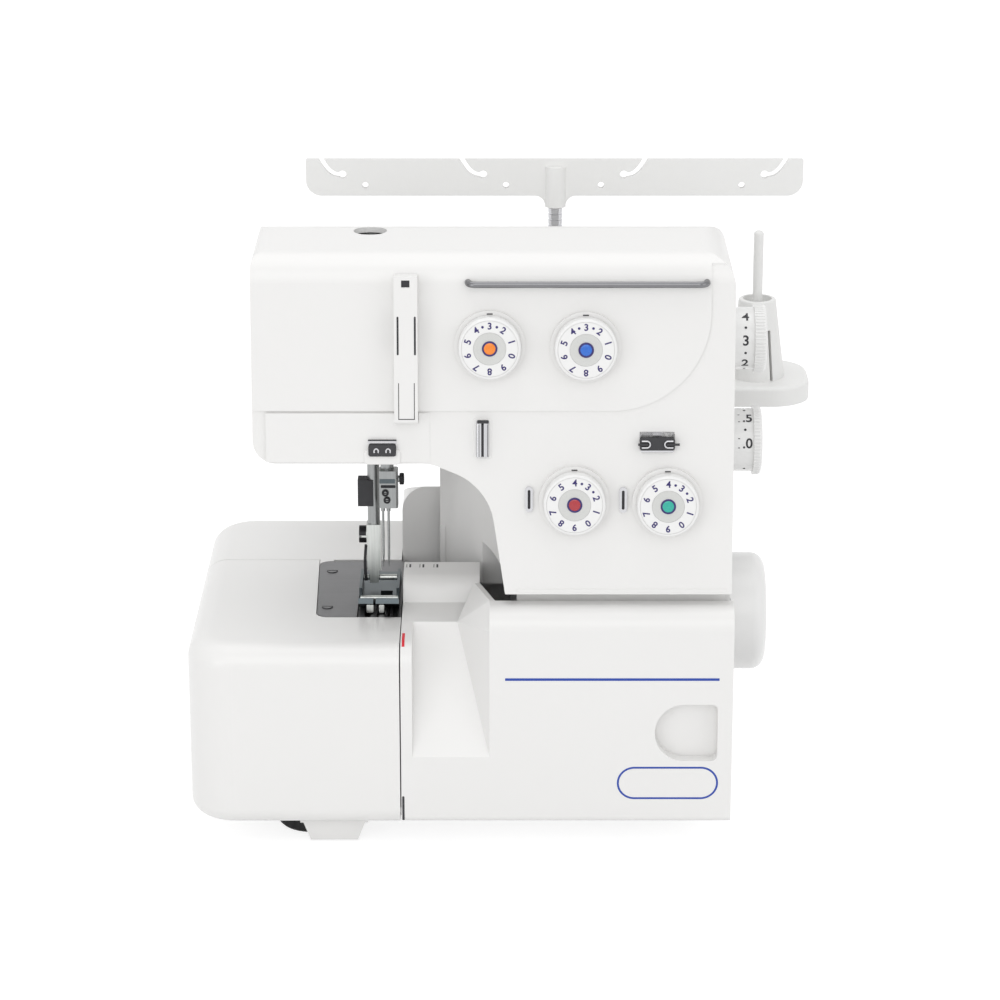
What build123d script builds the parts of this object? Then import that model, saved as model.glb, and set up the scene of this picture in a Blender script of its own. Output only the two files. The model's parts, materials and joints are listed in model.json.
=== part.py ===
"""Serger overlock machine, as separate pieces.

Millimetres. x runs to the right, y to the back and z up. The pieces are drawn from the point on the table
below the needles, and moved at the end so that the origin is under the middle of the whole machine.
"""
import math
import os

from build123d import *

# Cuts: how far a tool runs past a face, past a wall, and past the whole machine
nick = 1.0
overrun = 10.0
reach = 400.0

# Casing
wall = 2.6
body_left = -61.4
body_right = 165.0
body_back = 55.0
body_top = 289.0
body_split = 12.0
arm_bottom = 191.0
panel_bottom = 128.0
panel_front = -60.0
panel_lean = 6.0
top_front_round = 14.0
top_back_round = 45.0
top_left_round = 5.6
top_right_round = 15.0
arm_end_round = 11.0
crease_rise = 25.4
crease_right_margin = 11.4
crease_round = 46.0
ledge_depth = 10.5
ledge_drop = 7.0
ledge_lead = 13.0
crease_depth = 1.0
crease_top_cut = 3.0
column_back_left = 25.0
column_corner_round = 8.0
cove_front_left = 57.4
cove_depth = 97.0
cove_start = 22.0
cove_shoulder_x = 49.5
cove_shoulder_drop = 11.0
cove_shoulder_normal = (0.8, 0.6)
cove_rounds = (20.0, 30.0)
cove_lead = 30.0
cove_centre_inset = 2.0
cove_margin = 1.0
apron_front = 17.0
apron_low = 106.0
apron_side = 17.0
apron_lap = 10.0
apron_reach = 2.0
well_left_margin = 12.0
well_right = 9.0
well_front = -13.0
well_back_margin = 9.0
lamp_left = -48.0
lamp_right = -30.0
lamp_front = -30.0
lamp_back = -8.0
lamp_fit = 0.3
lamp_drop = 1.5
lamp_flange = 2.0
lamp_flange_height = 4.0
vent_width = 3.0
vent_pitch = 8.0
vent_count = 7
vent_inset = 12.0
vent_stand_gap = 32.0
face_cover_left = -55.0
face_cover_right = 22.0
face_cover_depth = 1.4
face_cover_gap = 1.0
face_cover_taper = 14.0
face_cover_thin = 0.25

# Bed, covers and base
bed_top = 104.6
bed_back = 127.0
cover_front = -70.0
cover_left = -95.0
cover_bottom = 13.0
cover_edge_round = 11.0
cover_corner_round = 22.0
cover_lip = 11.0
cover_split_back = 56.0
cover_split_front = 7.0
cover_gap = 0.6
rear_gap = 0.4
notch_depth = 6.0
hinge_knuckle_radius = 3.0
hinge_pin_radius = 1.2
hinge_fit = 0.08
hinge_pin_fit = 0.02
hinge_arm = 12.0
hinge_foot = 3.0
knuckle_heights = (24.0, 42.0, 60.0, 78.0)
knuckle_gap = 0.4
rear_block_left = 5.4
rear_block_front = 62.0
rear_block_top = 142.0
rear_block_round = 13.0
rear_roof_fall = 26.0
rear_roof_lap = 5.0
motor_vent_width = 3.5
motor_vent_half = 14.0
motor_vent_count = 8
end_cover_inset = 2.0
end_cover_shaft_gap = 3.0
end_rib_height = 10.0
tray_bottom = 10.0
tray_thickness = 4.0
tray_front = -50.0
tray_left = -82.0
cradle_width = 6.0
cradle_half = 20.0
cradle_share = 0.7
cradle_insets = (12.0, 52.0)
foot_radius = 17.0
foot_edge = 1.2
foot_places = ((-37.0, -32.0), (130.0, -8.0), (130.0, 100.0), (-55.0, 100.0))
leg_top_left = -42.0
leg_top_right = -9.0
leg_taper = 5.0
leg_front = -59.0
leg_thickness = 3.0
leg_lift = 1.0

# Looper cover
looper_cover_right = 166.0
looper_cover_top = 123.0
looper_cover_bottom = 15.0
looper_cover_depth = 16.0
looper_cover_round = 10.0
looper_cover_toe = 3.0
looper_rod_height = 22.0
looper_rod_inset = 8.0
looper_rod_radius = 2.5
looper_rod_tails = (12.0, 8.0)
looper_lugs = (32.0, 152.0)
looper_lug_width = 6.0
looper_lug_wall = 1.5
looper_lug_drop = 4.0
looper_lug_rise = 3.0
looper_riser = 4.0
looper_slide = 6.0
lug_side_gap = 0.6
lug_front_gap = 5.2
lug_notch_height = 9.0
cover_knuckle_wall = 2.0
cover_knuckle_gap = 1.0
cover_knuckle_length = 8.0
cover_knuckle_web = 4.0
chute_left = 13.0
chute_right = 50.0
chute_bottom = 49.0
chute_crease_y = -40.0
chute_crease_z = 107.0
chute_crease_right = 34.4
chute_rim_foot = 5.0
chute_rim_drop = 8.0
chute_rim_depth = 6.0
hump_front = -8.0
hump_back = 15.0
hump_top = 118.0
hump_right = 45.0
hump_lead = 5.0
hump_round = 9.0
finger_left = 129.0
finger_right = 159.0
finger_low = 47.0
finger_high = 76.0
finger_depth = 7.0
finger_wall = 3.0
finger_corner = 3.0

# Needles, presser and feed
needle_bar_radius = 3.2
needle_bar_top = 266.0
clamp_bottom = 153.0
clamp_top = 171.9
clamp_left = -3.75
clamp_right = 5.35
clamp_front = -5.5
clamp_back = 2.6
clamp_corner = 1.0
clamp_screw_radius = 1.5
clamp_screw_depth = 3.0
clamp_screw_proud = 0.6
clamp_screw_slot = 0.6
clamp_screws = ((-0.8, 10.9), (0.0, 14.6))
clamp_side_screw = (-2.0, 4.8)
clamp_side_radius = 1.6
needle_places = (-2.2, 0.5)
needle_radius = 0.6
shank_radius = 1.0
shank_depth = 10.0
shank_drop = 3.0
needle_tip = 121.0
needle_point = 6.0
needle_point_radius = 0.12
presser_x = -7.0
presser_y = 6.6
presser_radius = 3.0
presser_top = 262.0
collar_bottom = 214.6
collar_radius = 6.0
collar_height = 6.0
pressure_radius = 7.6
pressure_fit = 0.4
pressure_sink = 3.2
pressure_gap = 8.0
pressure_slot_width = 2.0
pressure_slot_depth = 2.8
lifter_offset = 13.0
lifter_rest_gap = 0.6
lifter_shaft = 4.0
lifter_finger_inset = 3.4
lifter_finger_front = 3.0
lifter_finger_back = 4.0
lifter_finger_height = 2.0
lifter_reach = 40.0
lifter_hub_half = 6.0
lifter_drop = 8.0
lifter_handle_thickness = 4.5
lifter_handle_gap = 1.5
lifter_rounds = (5.0, 3.0, 3.0, 5.0)
holder_half_width = 3.5
holder_half_depth = 3.5
holder_top = 141.5
holder_neck_half = 2.3
holder_neck = 4.9
holder_lip = 1.8
holder_screw_radius = 4.2
holder_screw_height = 3.6
holder_screw_drop = 5.8
holder_screw_slot = 1.0
foot_pin_rise = 8.5
foot_pin_radius = 1.3
foot_left = -13.8
foot_right = 5.8
foot_front = -25.5
foot_back = 31.0
foot_sole = 2.4
foot_rest_gap = 0.3
foot_toe = 12.0
foot_toe_rise = 6.0
foot_slot_side = 1.6
foot_slot_front = -6.0
foot_slot_back = 3.0
toe_slot_left = 7.2
toe_slot_width = 1.2
toe_slot_back = -8.0
ear_width = 1.4
ear_front = 20.0
ear_back = 8.0
ear_top = 1.6
ear_sink = 0.5
release_gap = 0.1
release_inset = 0.8
release_thickness = 1.4
release_low = 8.0
release_high = 20.0
release_reach = 9.0
release_tongue = 1.6
cutter_reach = 7.6
cutter_front = 3.6
cutter_back = 4.4
cutter_drop = 1.8
cutter_rise = 11.5
bush_wall = 3.0
bar_bush_wall = 1.4
bush_fit = 0.04
seat_fit = 0.02
bracket_low = 197.0
bracket_high = 247.0
bracket_height = 10.0
bracket_left_margin = 8.0
bracket_right = 8.0
bracket_front = -8.0
plate_left = -34.0
plate_back_left = -36.4
plate_right = 6.8
plate_front = -27.0
plate_back = 54.0
plate_thickness = 2.0
plate_corner = 6.0
plate_fit = 0.4
plate_screw_radius = 2.6
plate_screw_fit = 0.2
plate_screw_proud = 0.4
plate_screw_slot = 0.8
plate_screw_inset = 4.5
plate_screw_ends = (14.0, 15.0)
needle_slot_side = 2.0
needle_slot_half = 2.5
feed_left = -14.0
feed_right = -5.0
feed_front = -25.0
feed_back = 28.0
feed_middle_gap = 3.0
feed_travel = 2.0
feed_fit = 0.6
feed_height = 16.0
feed_sink = 0.4
feed_comb = 3.0
tooth_pitch = 2.0
tooth_depth = 1.2
knife_thickness = 2.2
knife_front = -34.0
knife_back = -22.0
knife_slope = 3.0
knife_gap = 0.4
lower_knife_left = 7.2
lower_knife_drop = 1.0
upper_knife_drop = 4.0
knife_arm_top = 84.0
knife_arm_thickness = 3.0
knife_arm_lap = 2.0
knife_hub_half = 5.0

# Drive and frame
shaft_y = 20.0
shaft_z = 90.7
shaft_radius = 5.0
shaft_left = 14.0
handwheel_radius = 29.2
handwheel_width = 20.8
handwheel_gap = 0.8
handwheel_round = 7.0
handwheel_back_round = 2.0
handwheel_web = 2.0
pulley_left = 140.0
pulley_width = 12.0
drive_pulley_radius = 24.0
motor_pulley_radius = 8.0
motor_y = 95.0
motor_z = 52.0
motor_radius = 24.0
motor_left = 56.0
motor_length = 70.0
motor_bore_inset = 40.0
motor_shaft_radius = 2.5
motor_boss_wall = 3.0
belt_thickness = 1.6
belt_gap = 0.3
frame_left = 20.0
frame_middle = 60.0
frame_right = 128.0
frame_wall = 8.0
frame_floor = 6.0
frame_front = 8.0
frame_back = 50.0
frame_deck = 118.0
frame_left_rise = 14.0
column_left = 66.0
column_right = 124.0
column_front_inset = 6.0
column_back_inset = 2.0
column_wall = 8.0
column_web = 12.0
arm_frame_left = -50.0
arm_frame_front = 30.0
arm_frame_back = 46.0
arm_frame_top = 257.0
arm_frame_lift = 14.0
rail_width = 8.0
rail_drop = 9.0
feed_rail_drop = 6.0
looper_pin_radius = 3.0
looper_hub_radius = 6.0
looper_thickness = 3.0
looper_hub_length = 10.0
lower_looper_pin = (24.0, 52.0)
lower_looper_hub = -14.0
lower_looper_path = ((-2, 2), (-8, 20), (-14, 34), (-26, 41), (-16, 38), (-10, 36), (-1, 18), (3, 2))
upper_looper_pin = (40.0, 60.0)
upper_looper_hub = -2.6
upper_looper_path = ((-4, 0), (-10, 24), (-20, 36), (-23, 44), (-16, 40), (-5, 28), (4, 0))
looper_post_half = 5.0
looper_post_rise = 6.0
knife_pin = (-44.0, 60.0)
knife_post_half = 4.0
knife_post_gap = 0.3

# Right end controls
dial_y = 20.0
length_dial_z = 232.0
length_dial_radius = 16.7
length_dial_width = 18.6
length_dial_rim = 5.8
feed_dial_z = 180.0
feed_dial_radius = 17.0
feed_dial_width = 17.6
feed_dial_rim = 4.2
end_dial_gap = 0.5
end_dial_shaft = 3.0
end_dial_tail = 22.0
end_dial_step = 1.6
end_dial_round = 2.0
knurl_count = 60
knurl_radius = 0.45
switch_y = -33.0
switch_z = 68.0
inlet_z = 40.0
socket_width = 22.0
socket_height = 18.0
socket_fit = 0.2
socket_flange = 2.0
socket_face = 1.0
inlet_depth = 16.0
inlet_well = 12.0
inlet_well_half = (8.0, 5.5)
inlet_pins = (-5.0, 0.0, 5.0)
inlet_pin_half = (0.8, 1.6)
inlet_pin_sink = 3.0
switch_depth = 14.0
rocker_inset = (4.0, 3.0)
rocker_fit = 0.4
rocker_pin_depth = 5.0
rocker_pin_radius = 1.2
rocker_depth = 8.0
rocker_shoulder = 3.0
rocker_proud = (1.4, 0.6)
rocker_foot = 2.0
rocker_ends = (1.2, 0.8)

# Tension panel
tension_places = ((50.2, 247.5), (95.0, 246.9), (90.0, 173.6), (133.9, 172.9))
tension_names = ("left_needle_dial", "right_needle_dial", "upper_looper_dial", "lower_looper_dial")
bezel_radius = 16.6
bezel_height = 2.0
dial_radius = 14.6
dial_height = 8.0
dial_gap = 0.3
dial_round = 1.2
dial_face = 1.0
stem_radius = 2.5
stem_tail = 16.0
stem_end_gap = 3.0
disc_radius = 9.0
disc_thickness = 1.2
disc_depths = (5.0, 6.4)
rod_left = 40.1
rod_right = 151.3
rod_drop = 12.0
rod_radius = 1.5
rod_stand_off = 4.5
rod_inside = 9.0
rod_bend = 3.5
take_up_left = 5.7
take_up_right = 16.7
take_up_low = 211.8
take_up_high = 280.9
take_up_depth = 9.0
take_up_slot = 4.4
take_up_end = 8.0
take_up_round = 2.0
take_up_window = (2.5, 7.0, 19.0, 3.5)
take_up_hole = (3.3, 3.9, 3.3)
take_up_side_gap = 0.2
take_up_low_gap = 0.3
take_up_pin_radius = 2.0
take_up_pin_half = 12.0
take_up_pin_inset = 14.0
take_up_lug_place = 9.0
take_up_lug_half = 1.5
take_up_lug_reach = 5.0
take_up_lever_half = 1.2
take_up_lever_path = ((-3, 4), (4, 4), (4, -4), (-3, -4), (-19, 3), (-19, 6))
tube_guide_x = 46.7
tube_guide_drop = 12.9
tube_guide_size = (6.1, 17.0, 2.2)
looper_guide_left = 119.8
looper_guide_right = 138.1
looper_guide_drop = 14.9
looper_guide_height = 9.0
looper_guide_plate = 1.6
looper_guide_lip = 1.8
looper_guide_reach = 5.0
slot_guide_places = ((68.7, 174.3), (112.5, 174.3))
slot_guide_size = (4.4, 11.4, 1.4)
slot_guide_slot = (1.6, 8.0, 0.8)
face_guide_rise = 7.8
face_guide_size = (13.2, 9.5, 2.4)
face_guide_edge = 0.5
face_guide_holes = (3.3, 1.5, 1.6)

# Spool stand
stand_left = -44.0
stand_right = 213.5
stand_front = 80.0
stand_back = 135.0
stand_top = 188.6
stand_thickness = 10.0
stand_round = 20.0
stand_edge = 2.0
stand_neck_half = 33.0
stand_neck_lap = 10.0
stand_neck_drop = 2.0
stand_leg_place = 28.0
stand_leg_half = 9.0
stand_leg_front = 8.0
stand_leg_back = 18.0
pole_x = 83.0
pole_y = 105.0
pole_radius = 3.6
pole_bore = 2.9
pole_inner_radius = 2.8
pole_bottom = 120.0
pole_floor = 2.0
pole_top = 277.0
spool_pitch = 69.0
spool_pin_radius = 2.5
spool_pin_root = 2.7
spool_pin_length = 76.0
spool_pin_tip = 1.8
cone_base_radius = 14.6
cone_top_radius = 9.4
cone_height = 40.6
cone_edge = 0.8
cone_wall = 2.0
cone_cup = 5.0
cone_slit = 1.6
cone_slit_height = 27.0
cone_slit_turn = 30.0
cone_core_wall = 2.5
rail_left = -43.0
rail_right = 208.0
rail_rise = 6.0
rail_height = 19.0
rail_thickness = 3.0
rail_corners = (8.0, 1.0)
rail_slot_pitch = 71.0
rail_slot_shift = -1.0
rail_slot_rise = 11.0
rail_slot_ball = 2.0
rail_slot_width = 2.4
rail_slot_path = ((0.0, 0.0), (5.0, -0.6), (7.5, 2.0), (11.5, 9.5))
rail_eye_shift = 11.5
rail_eye_drop = 5.5
rail_eye_radius = 1.6
sleeve_gap = 0.3
sleeve_radius = 5.2
sleeve_flare = 5.2
sleeve_cap = 4.0
pole_seat = 6.0

# Worked out from the above
lean = math.radians(panel_lean)
spool_places = [pole_x + spool_pitch * step for step in (-1.5, -0.5, 0.5, 1.5)]
rail_slot_places = [pole_x + rail_slot_shift + rail_slot_pitch * step for step in (-1.5, -0.5, 0.5, 1.5)]
centre_x = (cover_left + stand_right) / 2
centre_y = (cover_front + stand_back) / 2
crease_height = arm_bottom + crease_rise
crease_end = body_right - crease_right_margin
rod_height = body_top - rod_drop
rail_bottom = pole_top + rail_rise
rail_top = rail_bottom + rail_height
sleeve_bottom = pole_top + sleeve_gap
stand_bottom = stand_top - stand_thickness
tray_top = tray_bottom + tray_thickness
tray_back = bed_back - cover_lip
plate_bottom = bed_top - plate_thickness
foot_pin_height = bed_top + foot_pin_rise
holder_bottom = foot_pin_height - holder_lip
hinge_x = cover_left + hinge_knuckle_radius
hinge_y = cover_split_back - hinge_knuckle_radius
looper_rod_y = cover_front + looper_rod_inset
looper_cover_left = cover_split_front + cover_gap
looper_cover_back = cover_front + looper_cover_depth
feed_floor = bed_top - feed_height
feed_centre = (feed_front + feed_back) / 2
lifter_x = presser_x + lifter_offset
lifter_z = collar_bottom - lifter_rest_gap
take_up_middle = (take_up_left + take_up_right) / 2
take_up_width = take_up_right - take_up_left
socket_half_y = socket_width / 2 - socket_fit
socket_half_z = socket_height / 2 - socket_fit
plate_screw_places = (
    (plate_left + plate_screw_inset, plate_front + plate_screw_ends[0]),
    (plate_left + plate_screw_inset, plate_back - plate_screw_ends[1]),
)
bars = ((0.0, 0.0, needle_bar_radius), (presser_x, presser_y, presser_radius))


def panel_y(height):
    """The leaning front panel's surface at a height."""
    return panel_front + math.tan(lean) * (height - panel_bottom)


def panel_plane(x, height, out=0.0):
    """A plane on the front panel: its own x to the right, y up the panel and z out of it."""
    normal = Vector(0, -math.cos(lean), math.sin(lean))
    place = Vector(x, panel_y(height), height) + normal * out
    return Plane(origin=place, x_dir=(1, 0, 0), z_dir=normal)


def block(x0, x1, y0, y1, z0, z1):
    """A box between two corners."""
    return Pos((x0 + x1) / 2, (y0 + y1) / 2, (z0 + z1) / 2) * Box(x1 - x0, y1 - y0, z1 - z0)


def rod_x(x0, x1, y, z, radius):
    """A round bar along x."""
    return extrude(Plane.YZ.offset(x0) * Pos(y, z) * Circle(radius), x1 - x0)


def rod_y(x, y0, y1, z, radius):
    """A round bar along y."""
    return extrude(Plane.XZ.offset(-y1) * Pos(x, z) * Circle(radius), y1 - y0)


def rod_z(x, y, z0, z1, radius):
    """An upright round bar."""
    return extrude(Plane.XY.offset(z0) * Pos(x, y) * Circle(radius), z1 - z0)


def outline(points, rounds=None):
    """A closed face through the points, with a round at each corner."""
    if rounds is None:
        return make_face(Polyline(*points, close=True))
    return make_face(FilletPolyline(*points, radius=rounds, close=True))


def slab_yz(face, x0, x1):
    """A side outline pulled along x."""
    return extrude(Plane.YZ.offset(x0) * face, x1 - x0)


def slab_xz(face, y0, y1):
    """A front outline pulled along y."""
    return extrude(Plane.XZ.offset(-y1) * face, y1 - y0)


def slab_xy(face, z0, z1):
    """A plan outline pulled up."""
    return extrude(Plane.XY.offset(z0) * face, z1 - z0)


def arm_and_column(inset):
    """The upper casing's outer form, or the space inside it when inset by the wall."""
    low = panel_bottom - inset * overrun
    front = inset / math.cos(lean)
    side = outline(
        [
            (panel_y(low) + front, low),
            (panel_y(body_top - inset) + front, body_top - inset),
            (body_back - inset, body_top - inset),
            (body_back - inset, low),
        ],
        [0, top_front_round - inset, top_back_round - inset, 0],
    )
    front_view = outline(
        [
            (body_left + inset, arm_bottom + inset),
            (column_back_left + inset, arm_bottom + inset),
            (column_back_left + inset, low),
            (body_right - inset, low),
            (body_right - inset, body_top - inset),
            (body_left + inset, body_top - inset),
        ],
        [
            arm_end_round - inset,
            column_corner_round + inset,
            0,
            0,
            top_right_round - inset,
            top_left_round - inset,
        ],
    )
    across = slab_yz(side, body_left - nick, body_right + nick)
    deep = slab_xz(front_view, panel_front - overrun, body_back + overrun)
    return across & deep


def cove_plan(grow):
    """The hollow's sweep seen from above, grown by a wall."""
    half_width = cove_front_left + cove_margin - column_back_left + grow
    return Pos(column_back_left, panel_front + cove_centre_inset) * Ellipse(half_width, cove_depth + grow)


def cove(grow):
    """The hollow scooped from the column's front left corner."""
    left = cove_start - cove_lead
    low = panel_bottom - cove_lead - overrun
    side, up = cove_shoulder_normal
    view = outline(
        [
            (left, arm_bottom + grow),
            (cove_start + grow / 2, arm_bottom + grow),
            (cove_shoulder_x + grow * side, arm_bottom - cove_shoulder_drop + grow * up),
            (cove_front_left + grow, panel_bottom),
            (cove_front_left + grow, low),
            (left, low),
        ],
        [0, cove_rounds[0], cove_rounds[1], 0, 0, 0],
    )
    upright = slab_xy(cove_plan(grow), low - overrun, arm_bottom + 2 * overrun)
    return slab_xz(view, panel_front - 2 * overrun, body_back) & upright


def lamp_block(grow, low, high):
    """The lamp's outline under the arm, grown and pulled up."""
    return block(lamp_left - grow, lamp_right + grow, lamp_front - grow, lamp_back + grow, low, high)


def upper_casing():
    """The hollow casing of arm and column, open below the column."""
    shell = (arm_and_column(0) - cove(0)) - (arm_and_column(wall) - cove(wall))
    low, high = arm_bottom - nick, arm_bottom + wall + nick
    shell -= block(
        presser_x - well_left_margin, well_right, well_front, presser_y + well_back_margin, low, high
    )
    shell -= lamp_block(lamp_fit, low, high)
    shell -= rod_z(presser_x, presser_y, body_top - overrun, body_top + nick, pressure_radius + pressure_fit)
    for z in (length_dial_z, feed_dial_z):
        shell -= rod_x(body_right - overrun, body_right + nick, dial_y, z, end_dial_shaft + bush_fit)
    shell -= rod_y(lifter_x, body_back - overrun, body_back + nick, lifter_z, lifter_shaft + bush_fit)
    return shell


def take_up_pivot():
    """The take-up lever's turning axis."""
    height = (take_up_low + take_up_high) / 2
    return (take_up_middle, panel_y(height) + take_up_pin_inset, height)


def front_cover():
    """Panel and arm front, with the sunk panel right of the crease and a bezel round each tension dial."""
    shell = upper_casing() & block(-reach, reach, -reach, body_split, 0, reach)
    sunk = outline(
        [
            (body_left - overrun, crease_height),
            (crease_end, crease_height),
            (crease_end, body_top + overrun),
            (body_right + overrun, body_top + overrun),
            (body_right + overrun, panel_bottom - overrun),
            (body_left - overrun, panel_bottom - overrun),
        ],
        [0, crease_round, 0, 0, 0, 0],
    )
    skin = arm_and_column(0) - Pos(0, crease_depth / math.cos(lean), 0) * arm_and_column(0)
    shell -= skin & slab_xz(sunk, panel_front - overrun, panel_y(body_top) + crease_top_cut)
    left, right = chute_right + ledge_lead, body_right - wall
    front, back = panel_front + nick, panel_front + nick + ledge_depth
    ledge = panel_bottom + wall
    shell += block(left, right, front, back, panel_bottom + nick, ledge)
    shell += block(left, right, back - wall, back, panel_bottom - ledge_drop, ledge)
    for x, z in tension_places:
        plane = panel_plane(x, z)
        shell += extrude(plane.offset(-wall) * Circle(bezel_radius), wall + bezel_height)
        shell -= extrude(plane.offset(-overrun) * Circle(stem_radius + bush_fit), 2 * overrun)
    for x in (rod_left, rod_right):
        front = panel_y(rod_height)
        shell -= rod_y(x, front - overrun, front + overrun, rod_height, rod_radius + bush_fit)
    half = take_up_slot / 2
    shell -= block(
        take_up_middle - half,
        take_up_middle + half,
        panel_front - overrun,
        panel_y(take_up_high) + overrun,
        take_up_low + take_up_end,
        take_up_high - take_up_end,
    )
    x, y, z = take_up_pivot()
    for side in (-take_up_lug_place, take_up_lug_place):
        lug = block(
            x + side - take_up_lug_half,
            x + side + take_up_lug_half,
            panel_y(z) + nick,
            y + take_up_lug_reach,
            z - take_up_lug_reach,
            z + take_up_lug_reach,
        )
        shell += lug - rod_x(x - reach, x + reach, y, z, take_up_pin_radius + hinge_fit)
    return shell


def rear_cover():
    """Back of arm and column, with an apron below the hollow and cooling slots behind the motor side."""
    shell = upper_casing() & block(-reach, reach, body_split, reach, 0, reach)
    low, high = apron_low, panel_bottom + nick
    apron = slab_xy(cove_plan(wall), low, high) - slab_xy(cove_plan(0), 0, reach)
    apron &= block(column_back_left, reach, apron_front, body_back, 0, reach)
    left, right = column_back_left, column_back_left + wall
    apron += block(left, right, body_back - apron_side, body_back, low, high)
    left, right = cove_front_left - apron_lap, cove_front_left + apron_reach
    shell += apron + block(left, right, apron_front, apron_front + wall, low, high)
    for step in range(vent_count):
        x = column_left + vent_inset + vent_pitch * step
        low, high = panel_bottom + vent_inset, stand_top - vent_stand_gap
        shell -= block(x, x + vent_width, body_back - overrun, body_back + nick, low, high)
    return shell


def face_cover():
    """The plain cover on the arm's lower front, in front of the needle bar, thinned out to the right."""
    low = arm_bottom + face_cover_gap
    length = (crease_height - face_cover_gap - low) / math.cos(lean)
    foot = panel_plane(0, low, -crease_depth)
    section = outline(
        [
            (face_cover_left, 0),
            (face_cover_left, -face_cover_depth),
            (face_cover_right - face_cover_taper, -face_cover_depth),
            (face_cover_right, -face_cover_thin),
            (face_cover_right, 0),
        ]
    )
    plate = extrude(Plane(origin=foot.origin, x_dir=foot.x_dir, z_dir=foot.y_dir) * section, length)
    gap = take_up_side_gap
    notch = block(take_up_left - gap, take_up_right + gap, -reach, 0, take_up_low - nick, body_top)
    return plate - notch


def cover_form(left, right, front, back, low, high, end, inset):
    """A bed cover's full form: rounded at its left side and at its front or back end."""
    form = block(left, right, front, back, low, high)
    uprights = form.edges().filter_by(Axis.Z).sort_by(Axis.X)[:2].sort_by(Axis.Y)
    form = fillet(uprights[0] if end == "front" else uprights[-1], cover_corner_round - inset)
    flat_end = back if end == "front" else front
    for level, radius in ((-1, cover_edge_round), (0, cover_lip - wall)):
        rim = form.edges().group_by(Axis.Z)[level]
        rim = [edge for edge in rim if edge.center().X < right - nick / 2]
        rim = [edge for edge in rim if abs(edge.center().Y - flat_end) > nick / 2]
        form = fillet(rim, radius - inset)
    return form


def cover_shell(left, right, front, back, end):
    """A hollow bed cover, open to the right and at the end that isn't rounded."""
    outer = cover_form(left, right, front, back, cover_bottom, bed_top, end, 0)
    inner_front = front + wall if end == "front" else front - overrun
    inner_back = back - wall if end == "back" else back + overrun
    low, high = cover_bottom + wall, bed_top - wall
    return outer - cover_form(left + wall, right + overrun, inner_front, inner_back, low, high, end, wall)


def side_cover():
    """The swinging cover left of the needle plate, with its hinge knuckle."""
    shell = cover_shell(cover_left, cover_split_front, cover_front, cover_split_back, "front")
    floor = cover_bottom + wall + nick
    shell -= block(cover_left + cover_lip, reach, cover_front + cover_lip, reach, 0, floor)
    notch_left, notch_front = plate_left - plate_fit, plate_front - plate_fit
    back_left, back = plate_back_left - plate_fit, cover_split_back + nick
    notch = outline(
        [(notch_left, notch_front), (reach, notch_front), (reach, back), (back_left, back)],
        [plate_corner, 0, 0, 0],
    )
    shell -= slab_xy(notch, bed_top - notch_depth, reach)
    corner = block(cover_left - nick, hinge_x, hinge_y, cover_split_back + nick, 0, reach)
    shell -= corner - rod_z(hinge_x, hinge_y, 0, reach, hinge_knuckle_radius)
    low, first, second, high = knuckle_heights
    room = hinge_knuckle_radius + knuckle_gap
    for z0, z1 in ((low, first), (second, high)):
        shell -= rod_z(hinge_x, hinge_y, z0 - knuckle_gap, z1 + knuckle_gap, room)
    z0, z1 = first + knuckle_gap, second - knuckle_gap
    shell += rod_z(hinge_x, hinge_y, z0, z1, hinge_knuckle_radius)
    shell += block(hinge_x - hinge_knuckle_radius, hinge_x, hinge_y - hinge_arm, hinge_y, z0, z1)
    return shell - rod_z(hinge_x, hinge_y, low - 2 * nick, high + 2 * nick, hinge_pin_radius + hinge_fit)


def rear_bed_cover():
    """The fixed back part of the bed on the left, which carries the side cover's hinge."""
    front = cover_split_back + rear_gap
    shell = cover_shell(cover_left, rear_block_left - rear_gap, front, bed_back, "back")
    left = cover_left + cover_lip + 2 * nick
    shell -= block(left, reach, 0, tray_back, 0, cover_bottom + wall + nick)
    tab_right = plate_back_left + plate_corner + nick
    tab = block(plate_back_left, tab_right, plate_back - plate_corner, front + wall, plate_bottom, bed_top)
    shell += tab - slab_xy(plate_plan(plate_fit), 0, reach)
    half = hinge_knuckle_radius / 2
    low, first, second, high = knuckle_heights
    for z0, z1 in ((low, first), (second, high)):
        shell += rod_z(hinge_x, hinge_y, z0, z1, hinge_knuckle_radius)
        shell += block(hinge_x - half, hinge_x + half, hinge_y, front + hinge_foot, z0, z1)
        shell -= rod_z(hinge_x, hinge_y, z0 - nick, z1 + nick, hinge_pin_radius + hinge_pin_fit)
    return shell


def side_cover_pin():
    """The steel pin of the side cover's hinge."""
    return rod_z(hinge_x, hinge_y, knuckle_heights[0], knuckle_heights[-1], hinge_pin_radius)


def roofed_block(left, right, front, back, low, high, radius):
    """A box whose two upper edges along y are rounded."""
    form = block(left, right, front, back, low, high)
    return fillet(form.edges().filter_by(Axis.Y).group_by(Axis.Z)[-1], radius)


def roof_wedge(top, right):
    """What is cut from the rear housing's left end, so that its roof falls to the back."""
    back = bed_back + nick
    face = outline(
        [
            (rear_block_front, top),
            (back, top - rear_roof_fall),
            (back, top + overrun),
            (rear_block_front, top + overrun),
        ]
    )
    return slab_yz(face, rear_block_left - nick, right)


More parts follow.
